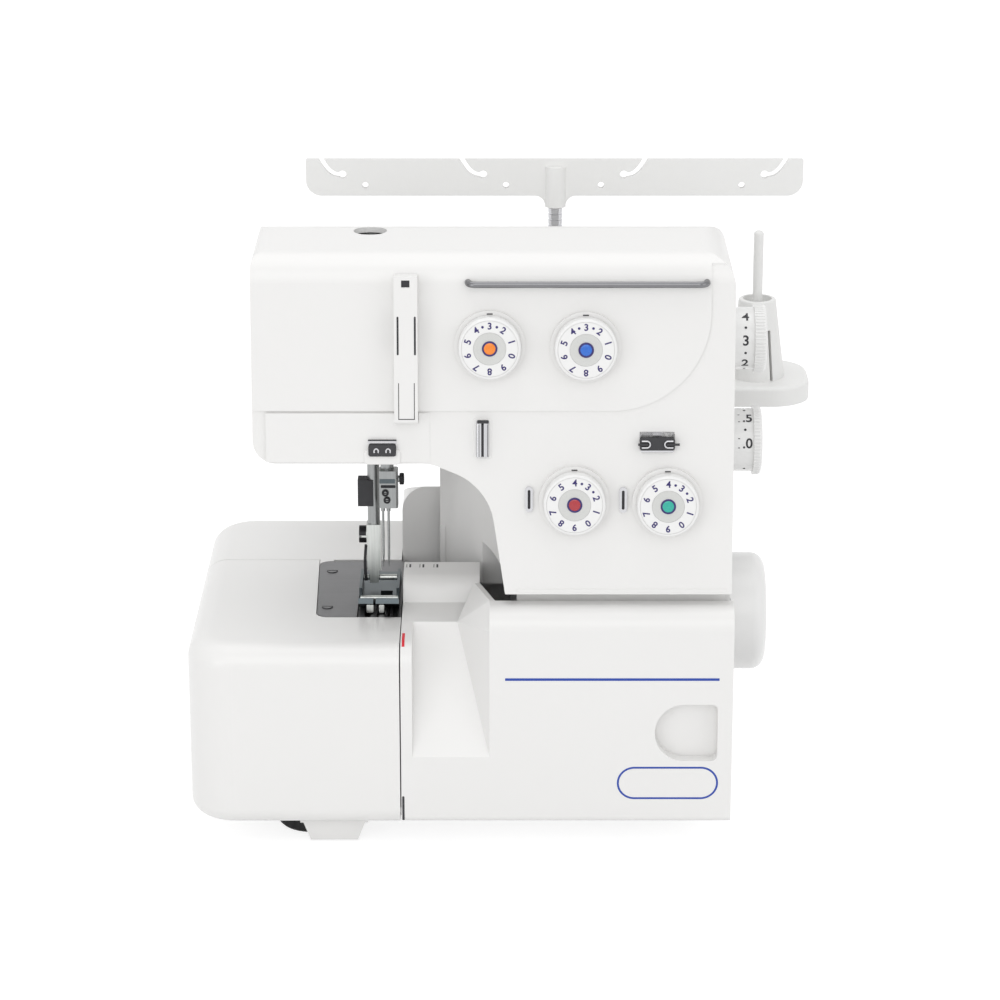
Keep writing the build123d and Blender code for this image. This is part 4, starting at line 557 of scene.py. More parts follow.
class SergerColours(bpy.types.PropertyGroup):
    """Colours of the finishes."""

    shell: colour_value("Shell", "White moulded covers", (0.83, 0.825, 0.815))
    knob: colour_value("Knob", "Knobs, dials and handwheel", (0.85, 0.85, 0.845))
    spool: colour_value("Spool stand", "Stand, cones and rail", (0.83, 0.83, 0.82))
    dish: colour_value("Knob dish", "Grey middle of the tension knobs", (0.62, 0.625, 0.61))
    ink: colour_value("Ink", "Numbers of the tension knobs", (0.03, 0.02, 0.14))
    line: colour_value("Line", "Blue line on the looper cover", (0.015, 0.06, 0.38))
    # Black ink also colours painted shade: lines and a hole on the take-up cover, and the latch slot.
    black_ink: colour_value("Black ink", "Numbers of the end dials and seam marks", (0.02, 0.02, 0.025))
    mark: colour_value("Mark", "Red mark on the looper cover's rim", (0.72, 0.02, 0.04))
    orange: colour_value("Orange", "Left needle knob's jewel", (1.0, 0.24, 0.0))
    blue: colour_value("Blue", "Right needle knob's jewel", (0.0, 0.13, 0.62))
    red: colour_value("Red", "Upper looper knob's jewel", (0.42, 0.01, 0.02))
    green: colour_value("Green", "Lower looper knob's jewel", (0.0, 0.42, 0.33))
    # Steel is set darker than bare steel: partly its own tone, partly painted shade for the bars under the arm.
    steel: colour_value("Steel", "Bars and clamp", (0.34, 0.35, 0.35))
    plate: colour_value("Plate", "Needle plate", (0.2, 0.2, 0.205))
    foot: colour_value("Foot", "Presser foot", (0.11, 0.13, 0.14))
    holder: colour_value("Holder", "Foot holder", (0.66, 0.68, 0.66))
    chrome: colour_value("Chrome", "Thread guides", (0.6, 0.6, 0.62))
    # The rod's colour is set far darker than the guides' chrome: painted dark reflection on the plated rod.
    rod: colour_value("Rod", "Thread rod", (0.22, 0.22, 0.23))


class SergerSizes(bpy.types.PropertyGroup):
    """Sizes of the pieces made here."""

    knob_radius: length_value("Knob radius", "Outer radius of a tension knob", 14.6)
    knob_low: length_value("Knob back", "Height of a knob's back above the panel", 2.35)
    knob_high: length_value("Knob front", "Height of a knob's face above the panel", 10.05)
    face_radius: length_value("Face radius", "Radius of the groove round the numbers", 13.2)
    dish_radius: length_value("Dish radius", "Radius of the grey middle", 7.6)
    jewel_radius: length_value("Jewel radius", "Outer radius of the dark ring round a jewel", 3.6)
    number_radius: length_value("Number circle", "Radius of the circle that the numbers stand on", 10.75)
    number_height: length_value("Number height", "Height of the tension numbers", 3.3)
    drum_number_height: length_value("Drum number height", "Height of the end dials' numbers", 5.1)
    line_length: length_value("Line length", "Length of the blue line", 102.0)
    line_width: length_value("Line width", "Thickness of the blue line", 1.3)
    badge_width: length_value("Badge width", "Width of the bare oval badge", 48.6)
    badge_height: length_value("Badge height", "Height of the bare oval badge", 16.8)
    screw_radius: length_value("Screw radius", "Head radius of the casing screws", 3.4)


class SergerStage(bpy.types.PropertyGroup):
    """Camera and lamps."""

    lens: bpy.props.FloatProperty(name="Lens", description="Focal length", default=122.4, unit="CAMERA")
    pitch: bpy.props.FloatProperty(
        name="Pitch",
        description="How far the camera looks down",
        default=math.radians(18.5),
        subtype="ANGLE",
    )
    place: bpy.props.FloatVectorProperty(
        name="Place", description="Where the camera stands", default=CAMERA, subtype="TRANSLATION"
    )
    key: power_value("Key", "Power of the left lamp", 4.0)
    fill: power_value("Fill", "Power of the right lamp", 3.2)
    top: power_value("Top", "Power of the upper lamp", 8.0)
    front: power_value("Front", "Power of the front lamp", 5.0)
    sky: bpy.props.FloatProperty(name="Sky", description="Level of light around", default=0.74, min=0.0)


class SERGER_OT_finishes(bpy.types.Operator):
    """Makes the finishes and gives them to the solids"""

    bl_idname = "serger.finishes"
    bl_label = "Finishes"

    def execute(self, context):
        colours = context.scene.serger_colours
        moulded_finish("shell", colours.shell, 0.33, 0.0007, 9e-6, 0.15)
        moulded_finish("knob_white", colours.knob, 0.3, 0.0006, 5e-6, 0.25)
        moulded_finish("spool_white", colours.spool, 0.4, 0.0008, 1e-5)
        brushed_finish("steel_upright", colours.steel, 0.26, (1.0, 1.0, 0.04))
        brushed_finish("steel_flat_and_painted_reflection", colours.plate, 0.34, (0.03, 1.0, 1.0))
        brushed_finish("steel_turned", colours.steel, 0.3, (1.0, 1.0, 1.0))
        brushed_finish("steel_foot_and_painted_shade", colours.foot, 0.3, (1.0, 0.05, 1.0))
        brushed_finish("steel_light", colours.holder, 0.32, (1.0, 1.0, 0.05))
        plated_finish("chrome", colours.chrome, 0.07)
        # The thread rod's plating, darkened as painted dark reflection.
        plated_finish("chrome_with_painted_dark_reflection", colours.rod, 0.1)
        dark_finish("blued_steel_and_painted_shade", (0.018, 0.018, 0.02), 0.28, 0.0008, 0.6, 0.12)
        dark_finish("black_plastic", (0.016, 0.016, 0.018), 0.4, 0.0006, 0.0, 0.06)
        dark_finish("rubber", (0.014, 0.014, 0.014), 0.62, 0.0012, 0.0, 0.2)
        dark_finish("motor_paint", (0.03, 0.03, 0.033), 0.5, 0.001, 0.0, 0.1)
        cast_finish("casting", (0.55, 0.56, 0.57), 0.42, 0.0016)
        cast_finish("bronze", (0.55, 0.38, 0.18), 0.34, 0.0007)
        lens_finish("lens", (0.9, 0.89, 0.84))
        print_finish("ink", colours.ink)
        print_finish("line_blue", colours.line)
        print_finish("black_ink", colours.black_ink)
        print_finish("mark_red", colours.mark)
        dish_finish("dish", colours.dish)
        for jewel in ("orange", "blue", "red", "green"):
            jewel_finish(f"jewel_{jewel}", getattr(colours, jewel))
        by_slot = {
            "white_shell": "shell",
            "pale_dial": "knob_white",
            "cast_frame": "casting",
            "steel": "steel_upright",
            "polished": "chrome",
            "black_steel": "blued_steel_and_painted_shade",
            "black_plastic": "black_plastic",
            "black_rubber": "rubber",
            "bronze": "bronze",
            "spool_plastic": "spool_white",
            "lamp_lens": "lens",
        }
        for node, slot in SLOT_OF.items():
            dress([node], by_slot[slot])
        flat = ("needle_plate", "needle_plate_screws", "feed_dog_main", "feed_dog_differential")
        turned = ("main_shaft", "looper_hinge_rod", "drive_pulley", "motor_pulley", "pressure_screw")
        dress(flat, "steel_flat_and_painted_reflection")
        dress(turned + ("needles",), "steel_turned")
        dress(["presser_foot"], "steel_foot_and_painted_shade")
        dress(["foot_holder"], "steel_light")
        dress(["thread_rod"], "chrome_with_painted_dark_reflection")
        dress(["motor"], "motor_paint")
        dress(["spool_pins"], "spool_white")
        return {"FINISHED"}


class SERGER_OT_tension_knobs(bpy.types.Operator):
    """Four numbered tension knobs, each with a grey dish and a coloured jewel"""

    bl_idname = "serger.tension_knobs"
    bl_label = "Tension Knobs"

    def knob(self, sizes):
        """Half section of a knob: bore, back, side, rounded edge, groove, ring of numbers and dish."""
        radius, low, high = sizes.knob_radius, sizes.knob_low, sizes.knob_high
        bore_radius, bore_end = mm(2.62, 7.4)
        edge, chamfer = mm(1.3, 0.4)
        turn = np.linspace(0, np.pi / 2, 8)
        corner = edge * np.column_stack((np.cos(turn) - 1, np.sin(turn) - 1)) + (radius, high)
        groove, sunk = sizes.face_radius, high - 0.3 * MM
        wide, narrow = mm(0.16, 0.1)
        dish, floor = sizes.dish_radius, high - DISH_SINK
        bore = [(0.0, bore_end), (bore_radius, bore_end), (bore_radius, low)]
        back = [(radius - chamfer, low), (radius, low + chamfer)]
        inner = [
            (groove + wide, high),
            (groove + narrow, sunk),
            (groove - narrow, sunk),
            (groove - wide, high),
            (dish + narrow, high),
            (dish, floor),
            (0.0, floor),
        ]
        return np.concatenate((bore, back, corner, inner))

    def bowl(self, radius, floor):
        """Half section of the dish: flat below, and falling from its rim to its middle."""
        under, rim, middle = floor + mm(-BITE, 0.22, 0.05)
        shape = np.array(((0.0, under), (1.0, under), (1.0, rim), (0.45, middle), (0.0, middle)))
        return shape * (radius, 1.0)

    def dome(self, radius, floor):
        """Half section of a jewel: a quarter of a flat ellipse on a short wall."""
        turn = np.linspace(0, np.pi / 2, 10)
        top = np.column_stack((radius * np.cos(turn), floor + (0.2 + 0.32 * np.sin(turn)) * MM))
        return np.concatenate((((0.0, floor), (radius, floor)), top))

    def numbers(self, sizes, digits, top_digit, floor):
        """Ten numbers round the knob, dots beside the 3, and the dark ring round the jewel."""
        dot = inked(circle(0.62 * MM, 16))
        solids = []
        for place, solid in list(enumerate(digits)) + [(2.5, dot), (3.5, dot)]:
            turn = (place - top_digit) * DIGIT_TURN
            solids.append(on_circle(solid, sizes.number_radius, sizes.knob_high, turn))
        ring = np.array(((0.76, 0.0), (1.0, 0.0), (1.0, 0.3), (0.94, 0.42), (0.82, 0.42), (0.76, 0.3)))
        ring = ring * (sizes.jewel_radius, MM) + (0.0, floor)
        return solids + [lathe(ring, 64, ring=True)]

    def execute(self, context):
        sizes = context.scene.serger_sizes
        floor = sizes.knob_high - DISH_SINK
        knob = lathe(self.knob(sizes), 128)
        bowl = lathe(self.bowl(sizes.dish_radius - 0.03 * MM, floor), 96)
        dome = lathe(self.dome(0.77 * sizes.jewel_radius, floor), 64)
        digits = [lettering(str(digit), sizes.number_height, 0.025) for digit in range(10)]
        dash = tile(2.8, 0.6, 0.2, BEZEL_OUT - BITE, BEZEL_OUT + PRINT)
        marks = []
        for name, top_digit, jewel in KNOBS:
            body = f"{name}_dial"
            joint = JOINTS[f"{body}_turn"]
            face = Face(joint["pos_m"], (1, 0, 0), joint["axis"])
            printed = [face.place(solid) for solid in self.numbers(sizes, digits, top_digit, floor)]
            make_piece(f"{name}_knob", [face.place(knob)], "knob_white", body, [body])
            make_piece(f"{name}_dish", [face.place(bowl)], "dish", body)
            make_piece(f"{name}_numbers", printed, "ink", body)
            make_piece(f"{name}_jewel", [face.place(dome)], jewel, body)
            marks.append(face.place(dash, 0, 15.1))
        make_piece("tension_index_marks", marks, "black_ink", "machine")
        return {"FINISHED"}


class SERGER_OT_end_dials(bpy.types.Operator):
    """Numbers round the drums of the two dials on the right end"""

    bl_idname = "serger.end_dials"
    bl_label = "End Dial Numbers"

    def execute(self, context):
        height = context.scene.serger_sizes.drum_number_height
        dot = inked(circle(0.65 * MM, 14))
        axis_y, eye_level = 20.0, 11.0
        lengths = {"1": -96, "2": -48, "3": 0, "4": 48}
        ratios = {"0.7": -118, "1.0": 0, "1.5": 50, "2.0": 100}
        rows = (
            ("stitch_length", 15.1, 173.7, 232.0, lengths, (-72, -24, 24)),
            ("differential_feed", 15.4, 174.6, 180.0, ratios, (-59, 25, 75)),
        )
        for name, radius, x, z, words, dots in rows:
            centre = spot(x, axis_y, z)
            marks = [(lettering(word, height, 0.02), angle) for word, angle in words.items()]
            marks += [(dot, angle) for angle in dots]
            solids = [
                wrapped(solid, centre, radius * MM, math.radians(eye_level + angle))
                for solid, angle in marks
            ]
            make_piece(f"{name}_numbers", solids, "black_ink", f"{name}_dial")
        return {"FINISHED"}


class SERGER_OT_cover_marks(bpy.types.Operator):
    """Print on the looper cover: blue line, bare oval badge, seam marks and red rim mark, with a black bar of
    painted shade for the latch slot
    """

    bl_idname = "serger.cover_marks"
    bl_label = "Cover Marks"

    def rim_path(self):
        """An arc up the round front edge of the chute's rim, and on along its slope to the back."""
        rim_x, arc_y, arc_z, arc_radius = 8.9, -59.0, 94.44, 11.0
        turn = np.radians(np.linspace(57.0, 85.4, 14))
        deep = np.linspace(arc_y, -53.0, 6)
        y = np.concatenate((arc_y - arc_radius * np.cos(turn), deep))
        slope = 104.6 + 0.08 * (deep - LOOPER_COVER_FRONT)
        z = np.concatenate((arc_z + arc_radius * np.sin(turn), slope))
        return (np.column_stack((np.full(len(y), rim_x), y, z)) + DATUM) * MM

    def execute(self, context):
        sizes = context.scene.serger_sizes
        body = "looper_cover"
        line = inked(rounded(sizes.line_length, sizes.line_width, 0.3 * MM))
        badge, trim = np.array((sizes.badge_width, sizes.badge_height)), 1.9 * MM
        outer, inner = (
            rounded(width, height, height / 2 - 0.01 * MM, 20) for width, height in (badge, badge - trim)
        )
        oval = band(outer, inner, -BITE * MM, PRINT * MM)
        solids = [
            face_at("front", 108.4, LOOPER_COVER_FRONT, 88.9).place(line),
            face_at("front", 135.4, LOOPER_COVER_FRONT, 35.6).place(oval),
        ]
        make_piece("looper_cover_print", solids, "line_blue", body)
        bars = []
        for x, width in ((8.9, 0.3), (10.6, 0.9), (15.4, 0.3), (17.1, 0.9), (22.3, 0.3), (24.0, 0.9)):
            bars.append(face_at("top", x, 9.4, 118.0).place(inked_bar(width, 4.6, width * 0.3, 4)))
        # A black bar of painted shade for the latch slot.
        bars.append(face_at("front", 8.5, LOOPER_COVER_FRONT, 22.4).place(inked_bar(1.1, 12.5, 0.5)))
        make_piece("seam_marks_and_slot_shade", bars, "black_ink", body)
        strip = mm((-0.65, -0.05), (0.65, -0.05), (0.65, 0.07), (-0.65, 0.07))
        rim = carried(self.rim_path(), strip, (0, -0.3, 1))
        make_piece("rim_mark", [rim], "mark_red", body)
        return {"FINISHED"}


class SERGER_OT_panel_guides(bpy.types.Operator):
    """Thread guides of the panel: slit tube, hooked bracket and two slot plates, with painted shade in the slits
    and painted reflections on the tube
    """

    bl_idname = "serger.panel_guides"
    bl_label = "Panel Thread Guides"

    def slit_tube(self):
        """A C section with rounded shoulders, carried up the panel."""
        outer = mm((0.6, 3.0), (1.7, 3.0), (2.5, 2.75), (2.95, 2.2), (3.05, 1.5), (3.05, 0.0))
        inner = mm((0.6, 2.35), (1.7, 2.3), (2.3, 1.7), (2.3, 0.6))
        section = np.concatenate((outer, outer[::-1] * MIRROR, inner * MIRROR, inner[::-1]))
        return carried(straight((0, -8.4, 0), (0, 8.4, 0), 9), section * MIRROR, (0, 0, 1))

    def hook(self, side):
        """A wire bent to a U that opens to one side: a half circle between two straight arms."""
        bend, out = 1.55, 3.8
        turn = np.linspace(np.pi / 2, -np.pi / 2, 21)
        bow = bend * np.column_stack((np.cos(turn), np.sin(turn)))
        arm = np.linspace((-2.4, bend), (-0.3, bend), 5)
        flat = np.concatenate((arm, bow, arm[::-1] * (1, -1))) * (-side, 1)
        path = np.column_stack((flat, np.full(len(flat), out)))
        return carried(path * MM, circle(0.45 * MM, 12), (0, 0, 1))

    def tube(self, chrome, black, grey):
        """The slit tube on its low pale base, with a black strip of painted shade inside its slit, a black cap
        above its top, and grey stripes of painted reflection along it.
        """
        face = panel_face(46.8, 203.1, PANEL_SINK)
        base = face.place(tile(8.6, 19.7, 1.4, -BITE, 0.5, 0.4))
        make_piece("tube_base", [base], "shell", "machine")
        chrome.append(face.place(self.slit_tube()))
        black.append(face.place(tile(5.5, 1.3, 0.5, 0.5, 3.05, 0.3), 0.2, 8.3))
        # A black strip inside the tube: painted shade showing through its slit.
        black.append(face.place(tile(3.6, 15.4, 0.5, 0.65, 2.2), 0, -0.6))
        # Grey stripes along the tube: painted reflections.
        for across, width, out in ((-1.65, 0.4, 3.0), (2.3, 0.5, 2.8)):
            stripe = tile(width, 15.6, 0.15, out - 3 * BITE, out + PRINT)
            grey.append(face.place(stripe, across, -0.4))

    def bracket(self, chrome, black):
        """The folded bracket: a bright lip over a black block, with two wire hooks and a lower lip."""
        face = panel_face(128.9, 201.9, PANEL_SINK)
        fold = mm(
            (0.0, -4.2), (0.6, -4.2), (0.6, 3.6), (4.2, 3.75), (4.8, 3.4), (5.3, 3.7), (4.9, 4.45),
            (4.3, 4.6), (0.0, 4.5),
        )
        path = straight((-8.3, 0, 0), (8.3, 0, 0), 9)
        chrome.append(face.place(carried(path, fold * MIRROR, (0, 1, 0))))
        chrome.append(face.place(tile(15.6, 1.0, 0.4, 0.3, 3.3, 0.3), 0, -4.3))
        middle, tail_out = -0.9, 3.9
        black.append(face.place(tile(16.4, 5.9, 1.3, 0.4, 3.5, 0.6), 0, middle))
        section = rounded(1.1 * MM, 1.2 * MM, 0.4 * MM, 4)
        for side, tip in ((-1, 9.1), (1, 10.4)):
            chrome.append(face.place(self.hook(side), side * 5.0, middle))
            tail = straight((side * 4.3, middle, tail_out), (side * tip, middle, tail_out), 7)
            black.append(face.place(carried(tail, section, (0, 0, 1))))

    def execute(self, context):
        chrome, black, grey = [], [], []
        self.tube(chrome, black, grey)
        self.bracket(chrome, black)
        edge = rounded(3.5 * MM, 12.2 * MM, 1.74 * MM, 12)
        slit = rounded(1.3 * MM, 9.2 * MM, 0.64 * MM, 12)
        plate = band(edge, slit, -BITE * MM, 1.2 * MM)
        # A black floor in each plate's slit: painted shade.
        floor = tile(1.6, 9.6, 0.75, -BITE, 0.25)
        for x, z in ((68.7, 174.2), (113.1, 173.9)):
            face = panel_face(x, z, PANEL_SINK)
            chrome.append(face.place(plate))
            black.append(face.place(floor))
        stands_for = ["panel_thread_guides"]
        make_piece("panel_guides_chrome", chrome, "chrome", "machine", stands_for)
        # The black pieces are real black parts, and painted shade inside the tube's slit and the plates' slits.
        make_piece("panel_guides_black", black, "black_plastic", "machine")
        make_piece("tube_painted_reflections", grey, "steel_flat_and_painted_reflection", "machine")
        return {"FINISHED"}


class SERGER_OT_face_guide(bpy.types.Operator):
    """The thread guide above the needles: bright lip, dark block with two hooks, and pale mount"""

    bl_idname = "serger.face_guide"
    bl_label = "Face Thread Guide"

    def execute(self, context):
        face = panel_face(-0.3, 198.8, FACE_COVER_OUT)
        mount = face.place(tile(17.2, 7.2, 1.8, -BITE, 1.1, 0.8), 0, -4.2)
        make_piece("face_guide_mount", [mount], "shell", "machine")
        fold = mm((-0.05, 1.9), (1.6, 1.9), (2.4, 2.3), (2.6, 3.1), (2.2, 3.6), (1.5, 3.7), (-0.05, 3.7))
        path = straight((-6.8, 0, 0), (6.8, 0, 0), 7)
        solids = [face.place(carried(path, fold * MIRROR, (0, 1, 0)))]
        turn = np.radians(np.linspace(215, -35, 22))
        bow = np.column_stack((1.0 * np.cos(turn), 1.2 * np.sin(turn), np.full(22, 2.5))) * MM
        hook = carried(bow, circle(0.4 * MM, 10), (0, 0, 1))
        solids += [face.place(hook, side * 2.8, -1.0) for side in (-1, 1)]
        make_piece("face_guide_plate", solids, "chrome", "machine", ["face_thread_guide"])
        dark = [
            face.place(tile(13.0, 5.6, 1.0, -BITE, 2.3, 0.4), 0, -0.8),
            face.place(tile(13.4, 0.5, 0.2, -BITE, 1.3, 0.1), 0, 3.9),
        ]
        make_piece("face_guide_block", dark, "black_plastic", "machine")
        return {"FINISHED"}


class SERGER_OT_take_up(bpy.types.Operator):
    """Painted shade on the take-up cover: black lines in its seams and side slots, and a black block in its
    threading hole
    """

    bl_idname = "serger.take_up"
    bl_label = "Take-up Cover"

    def execute(self, context):
        marks = []
        # Black lines of painted shade for the cover's seams and side slots.
        for x, z, width, height in (
            (7.8, 222.8, 0.35, 17.1),
            (15.1, 222.8, 0.35, 17.1),
            (11.45, 214.2, 7.7, 0.4),
            (7.5, 253.4, 0.9, 18.1),
            (15.5, 253.4, 0.9, 18.1),
        ):
            bar = inked_bar(width, height, 0.45 * min(width, height))
            marks.append(panel_face(x, z, TAKE_UP_OUT).place(bar))
        # A black block sunk in the threading hole: painted shade for the hole's inside.
        plug = tile(3.84, 3.24, 0.1, -4.0, -0.9)
        marks.append(panel_face(11.2, 277.62, TAKE_UP_OUT).place(plug))
        make_piece("take_up_painted_shade", marks, "black_ink", "machine")
        return {"FINISHED"}


class SERGER_OT_needle_zone(bpy.types.Operator):
    """Screws of the needle clamp with painted shade in its gap and groove, and screw, spring, bars and toes round
    the presser foot
    """

    bl_idname = "serger.needle_zone"
    bl_label = "Needle Zone"

    def clamp(self):
        """Two set screws, a fluted thumb screw, a dark bar of painted shade in the gap between the clamp's halves,
        and a darker strip of painted shade on its groove.
        """
        screw = mm(
            (0.0, -0.4), (1.7, -0.4), (1.7, 0.15), (1.45, 0.4), (0.85, 0.45), (0.7, -0.1), (0.0, -0.1)
        )
        head = mm(
            (0.0, 0.0), (1.4, 0.0), (1.4, 0.4), (2.5, 0.5), (2.8, 0.8), (2.8, 2.3), (2.5, 2.7), (1.2, 2.8),
            (0.9, 2.3), (0.0, 2.3),
        )
        set_front = -6.1
        dark = [
            face_at("front", -0.8, set_front, 161.0).place(lathe(screw, 36)),
            face_at("front", 0.0, set_front, 157.3).place(lathe(screw, 36)),
            face_at("right", 5.6, -2.0, 167.1).place(lathe(head, 120, 0.03, 20)),
            # A dark bar of painted shade in the gap between the clamp's halves.
            face_at("front", 0.6, CLAMP_FRONT, 164.2).place(inked_bar(7.2, 1.5, 0.5)),
        ]
        make_piece("needle_clamp_screws_and_gap_shade", dark, "blued_steel_and_painted_shade", "needle_bar")
        # A darker strip of painted shade on the clamp's groove.
        groove = face_at("front", 0.2, CLAMP_FRONT, 166.9).place(inked_bar(7.6, 2.3, 0.3))
        make_piece("needle_clamp_groove_shade", [groove], "steel_foot_and_painted_shade", "needle_bar")

    def foot_dark(self):
        """The holder screw's two half discs, the spring strip and two prongs under the toe."""
        side = face_at("left", -10.5, PRESSER_BAR[1], 135.7)
        disc, half_slot = 4.3, 0.55
        slope = math.asin(half_slot / disc)
        turn = np.linspace(slope, np.pi - slope, 24)
        half = disc * np.column_stack((np.cos(turn), np.sin(turn))) * MM
        solids = [side.place(prism(half * (1, flip), 0.25 * MM, 3.75 * MM)) for flip in (1, -1)]
        spring = np.linspace((-10.9, 4.0, 131.0), (-10.9, 2.5, 113.0), 24)
        spring[:, 0] -= 0.5 * np.sin(np.linspace(0, np.pi, 24))
        strip = mm((-0.7, -1.0), (0.7, -1.0), (0.7, 1.0), (-0.7, 1.0))
        solids.append(carried((spring + DATUM) * MM, strip, (0, 1, 0)))
        section = rounded(1.1 * MM, 1.2 * MM, 0.4 * MM, 4)
        for x in (-0.1, 2.2):
            prong = np.linspace((x, -15.0, 106.2), (x, -29.5, 106.2), 8)
            prong[:, 2] += 0.45 * np.sin(np.linspace(0, np.pi, 8))
            solids.append(carried((prong + DATUM) * MM, section, (0, 0, 1)))
        make_piece("foot_dark_parts", solids, "blued_steel_and_painted_shade", "presser_bar")

    def foot_bright(self):
        """The beaded pivot pin, the bar across the toe and two pale toe ends."""
        solids = []
        for x, length in ((-12.3, 2.6), (-4.5, 8.8)):
            shoulder = length - 0.2
            bead = mm((0.0, 0.0), (1.3, 0.0), (1.45, 0.2), (1.45, shoulder), (1.3, length), (0.0, length))
            solids.append(face_at("right", x, PRESSER_BAR[1], 113.1).place(lathe(bead, 32)))
        bar = np.linspace((-13.2, -14.5, 109.9), (5.2, -14.5, 109.9), 15)
        section = rounded(2.6 * MM, 2.4 * MM, 1.0 * MM, 5)
        solids.append(carried((bar + DATUM) * MM, section, (0, 0, 1)))
        for x, width in ((-8.2, 3.6), (-2.6, 2.8)):
            toe = tile(width, 4.4, 0.7, -1.2, 0.6, 0.4)
            solids.append(face_at("front", x, -22.5, 107.3).place(toe))
        make_piece("foot_bright_parts", solids, "steel_light", "presser_bar")

    def execute(self, context):
        self.clamp()
        self.foot_dark()
        self.foot_bright()
        return {"FINISHED"}


class SERGER_OT_pole(bpy.types.Operator):
    """The pole's lower tube, with rings turned into its top"""

    bl_idname = "serger.pole"
    bl_label = "Pole"

    def execute(self, context):
        low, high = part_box("pole_outer")
        foot, top = low[2], high[2]
        floor = foot + 2.0 * MM
        radius, bore = (high[0] - low[0]) / 2, 2.9 * MM
        neck = radius - 0.3 * MM
        wide, narrow = mm(0.5, 0.35)
        profile = [(0.0, foot), (radius, foot)]
        for drop in (12.0, 9.0, 6.0, 3.0):
            z = top - drop * MM
            profile += [(radius, z - wide), (neck, z - narrow), (neck, z + narrow), (radius, z + wide)]
        profile += [(radius, top - 0.4 * MM), (neck, top), (bore, top), (bore, floor), (0.0, floor)]
        tube = face_at("top", *POLE_PLACE, 0.0).place(lathe(profile, 64))
        make_piece("pole_tube", [tube], "chrome", "machine", ["pole_outer"])
        return {"FINISHED"}


class SERGER_OT_casing_screws(bpy.types.Operator):
    """Cross-head screws of the back covers, the end cover and the motor housing"""

    bl_idname = "serger.casing_screws"
    bl_label = "Casing Screws"

    def screw(self, radius):
        """A domed head: height falls with the square of the radius, and drops in a cross 1 mm wide."""
        steps, rings = 72, 16
        turn = np.linspace(0, 2 * np.pi, steps, endpoint=False)[:, None]
        ring = np.linspace(0, 1, rings)[None]
        across, up = radius * ring * np.cos(turn), radius * ring * np.sin(turn)
        dome = 1.4 * MM * (1 - 0.55 * ring**2)
        near = np.minimum(np.abs(across), np.abs(up))
        cross = np.clip((0.5 * MM - near) / (0.12 * MM), 0, 1) * np.clip((0.62 - ring) / 0.08, 0, 1)
        height = np.where(ring == 1, -BITE * MM, dome - 0.9 * MM * cross)
        points = np.stack((across, up, height), axis=-1)
        points[:, -2] = points[:, -1]
        points[:, -2, 2] = 0.6 * MM
        under = [row * rings + rings - 1 for row in range(steps)]
        return points.reshape(-1, 3), grid_faces(steps, rings, True, False) + [under]

    def execute(self, context):
        solid = self.screw(context.scene.serger_sizes.screw_radius)
        upper = ((-45.0, 204.0), (150.0, 204.0), (150.0, 140.0), (20.0, 204.0))
        lower = ((16.0, 30.0), (152.0, 30.0), (42.0, 126.0), (152.0, 126.0))
        end = ((52.0, 26.0), (52.0, 116.0), (-40.0, 116.0))
        faces = [face_at("back", x, REAR_COVER_BACK, z) for x, z in upper]
        faces += [face_at("back", x, HOUSING_BACK, z) for x, z in lower]
        faces += [face_at("right", RIGHT_END, y, z) for y, z in end]
        screws = [face.place(solid) for face in faces]
        make_piece("casing_screws", screws, "steel_turned", "machine")
        return {"FINISHED"}


class SERGER_OT_switch_and_inlet(bpy.types.Operator):
    """On and off marks of the power switch, and the inlet's plated pins"""

    bl_idname = "serger.switch_and_inlet"
    bl_label = "Switch and Inlet"

    def execute(self, context):
        middle_y, inlet_z, switch_z = -33.0, 40.0, 68.0
        blade = tile(1.7, 3.3, 0.5, 0.0, 9.4)
        inlet = face_at("right", 152.8, middle_y, inlet_z)
        pins = [inlet.place(blade, across) for across in (-5.0, 0.0, 5.0)]
        make_piece("inlet_pins", pins, "chrome", "machine")
        rocker_out, rocker_rise, rocker_half, mark_up = 0.6, 0.8, 4.6, 3.2
        slope = math.atan2(rocker_rise, rocker_half)
        x = RIGHT_END + rocker_out + rocker_rise * mark_up / rocker_half
        ring = band(circle(1.4 * MM, 32), circle(0.95 * MM, 32), -BITE * MM, PRINT * MM)
        marks = []
        for side, mark in ((-1, ring), (1, inked_bar(0.6, 2.6, 0.2))):
            place = spot(x, middle_y, switch_z + side * mark_up)
            face = Face(place, (0, 1, 0), (math.cos(slope), 0, -side * math.sin(slope)))
            marks.append(face.place(mark))
        make_piece("switch_marks", marks, "knob_white", "power_switch")
        return {"FINISHED"}


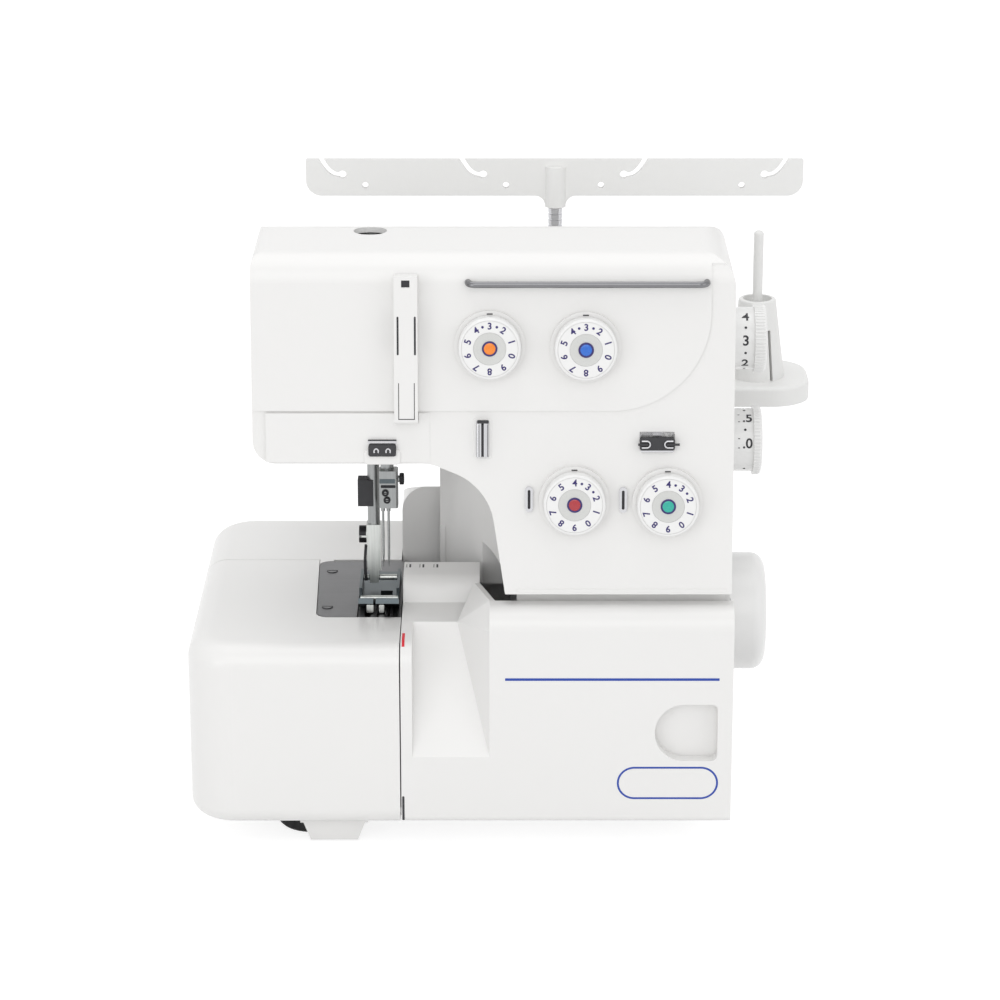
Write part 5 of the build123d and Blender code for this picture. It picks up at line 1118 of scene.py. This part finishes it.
class SERGER_OT_stage(bpy.types.Operator):
    """Camera, lamps, white surround and floor"""

    bl_idname = "serger.stage"
    bl_label = "Stage"

    def lamp(self, name, place, size, power):
        """A square soft lamp that looks at the machine's middle."""
        light = bpy.data.lights.new(name, "AREA")
        light.size = size
        light.energy = power
        lamp = bpy.data.objects.new(name, light)
        bpy.context.scene.collection.objects.link(lamp)
        lamp.location = place
        aim = np.array(LAMP_AIM) - place
        flat = math.hypot(aim[0], aim[1])
        lamp.rotation_euler = (math.atan2(flat, -aim[2]), 0.0, math.atan2(-aim[0], aim[1]))

    def surround(self, level):
        """White to the camera, mirrors and glass, and a plain grey level for everything else."""
        world = bpy.data.worlds.new("surround")
        bpy.context.scene.world = world
        world.use_nodes = True
        nodes = Nodes(world.node_tree)
        nodes.tree.nodes.remove(nodes.tree.nodes["Background"])
        plain, white = (
            nodes.node("ShaderNodeBackground", {}, {"Color": WHITE, "Strength": strength})
            for strength in (level, 1.0)
        )
        nodes.show("World Output", nodes.seen(), plain, white)

    def floor(self):
        """A wide sheet at table height: pale paper that glows white to the camera but keeps shadows."""
        reach, count, drop = 8.0, 9, 0.0004
        side = np.linspace(-reach, reach, count)
        across, deep = np.meshgrid(side, side, indexing="ij")
        points = np.stack((across, deep, np.full_like(across, -drop)), axis=-1).reshape(-1, 3)
        mesh = bpy.data.meshes.new("floor")
        mesh.from_pydata(points.tolist(), [], grid_faces(count, count, False, False))
        paper = Finish("paper", Roughness=0.9, Base_Color=(0.86, 0.86, 0.86, 1.0))
        glow_share, glow_level = 0.55, 1.5
        glow = paper.node("ShaderNodeEmission", {}, {"Color": WHITE, "Strength": glow_level})
        shader = Wire(paper, paper.shader.outputs[0])
        paper.show("Material Output", paper.seen() * glow_share, shader, glow)
        mesh.materials.append(paper.material)
        sheet = bpy.data.objects.new("floor", mesh)
        bpy.context.scene.collection.objects.link(sheet)

    def execute(self, context):
        stage = context.scene.serger_stage
        view = bpy.data.cameras.new("camera")
        view.lens = stage.lens
        view.sensor_width = 36.0
        camera = bpy.data.objects.new("camera", view)
        context.scene.collection.objects.link(camera)
        camera.location = stage.place
        camera.rotation_euler = (math.pi / 2 - stage.pitch, 0.0, 0.0)
        context.scene.camera = camera
        context.scene.view_settings.view_transform = "Standard"
        self.lamp("key_lamp", (-1.3, -1.7, 0.5), 1.0, stage.key)
        self.lamp("fill_lamp", (1.4, -1.2, 0.9), 1.3, stage.fill)
        self.lamp("top_lamp", (-0.1, 0.1, 1.9), 1.6, stage.top)
        self.lamp("front_lamp", (-0.2, -1.8, 1.1), 1.2, stage.front)
        self.surround(stage.sky)
        self.floor()
        return {"FINISHED"}


STEPS = (
    SERGER_OT_stage,
    SERGER_OT_finishes,
    SERGER_OT_tension_knobs,
    SERGER_OT_end_dials,
    SERGER_OT_cover_marks,
    SERGER_OT_panel_guides,
    SERGER_OT_face_guide,
    SERGER_OT_take_up,
    SERGER_OT_needle_zone,
    SERGER_OT_pole,
    SERGER_OT_casing_screws,
    SERGER_OT_switch_and_inlet,
)


class SERGER_PT_panel(bpy.types.Panel):
    """Lists the steps that dress the machine"""

    bl_idname = "SERGER_PT_panel"
    bl_label = "Serger"
    bl_space_type = "VIEW_3D"
    bl_region_type = "UI"
    bl_category = "Serger"

    def draw(self, context):
        for step in STEPS:
            self.layout.operator(step.bl_idname)


GROUPS = {"serger_colours": SergerColours, "serger_sizes": SergerSizes, "serger_stage": SergerStage}
CLASSES = tuple(GROUPS.values()) + STEPS + (SERGER_PT_panel,)


def register():
    """Adds the classes, and one group of each kind to every scene."""
    for made in CLASSES:
        bpy.utils.register_class(made)
    for name, group in GROUPS.items():
        setattr(bpy.types.Scene, name, bpy.props.PointerProperty(type=group))


def unregister():
    """Takes away what register added."""
    for name in GROUPS:
        delattr(bpy.types.Scene, name)
    for made in reversed(CLASSES):
        bpy.utils.unregister_class(made)


def main():
    """Registers the classes and runs every step."""
    register()
    for step in STEPS:
        family, name = step.bl_idname.split(".")
        getattr(getattr(bpy.ops, family), name)()


if __name__ == "__main__":
    main()
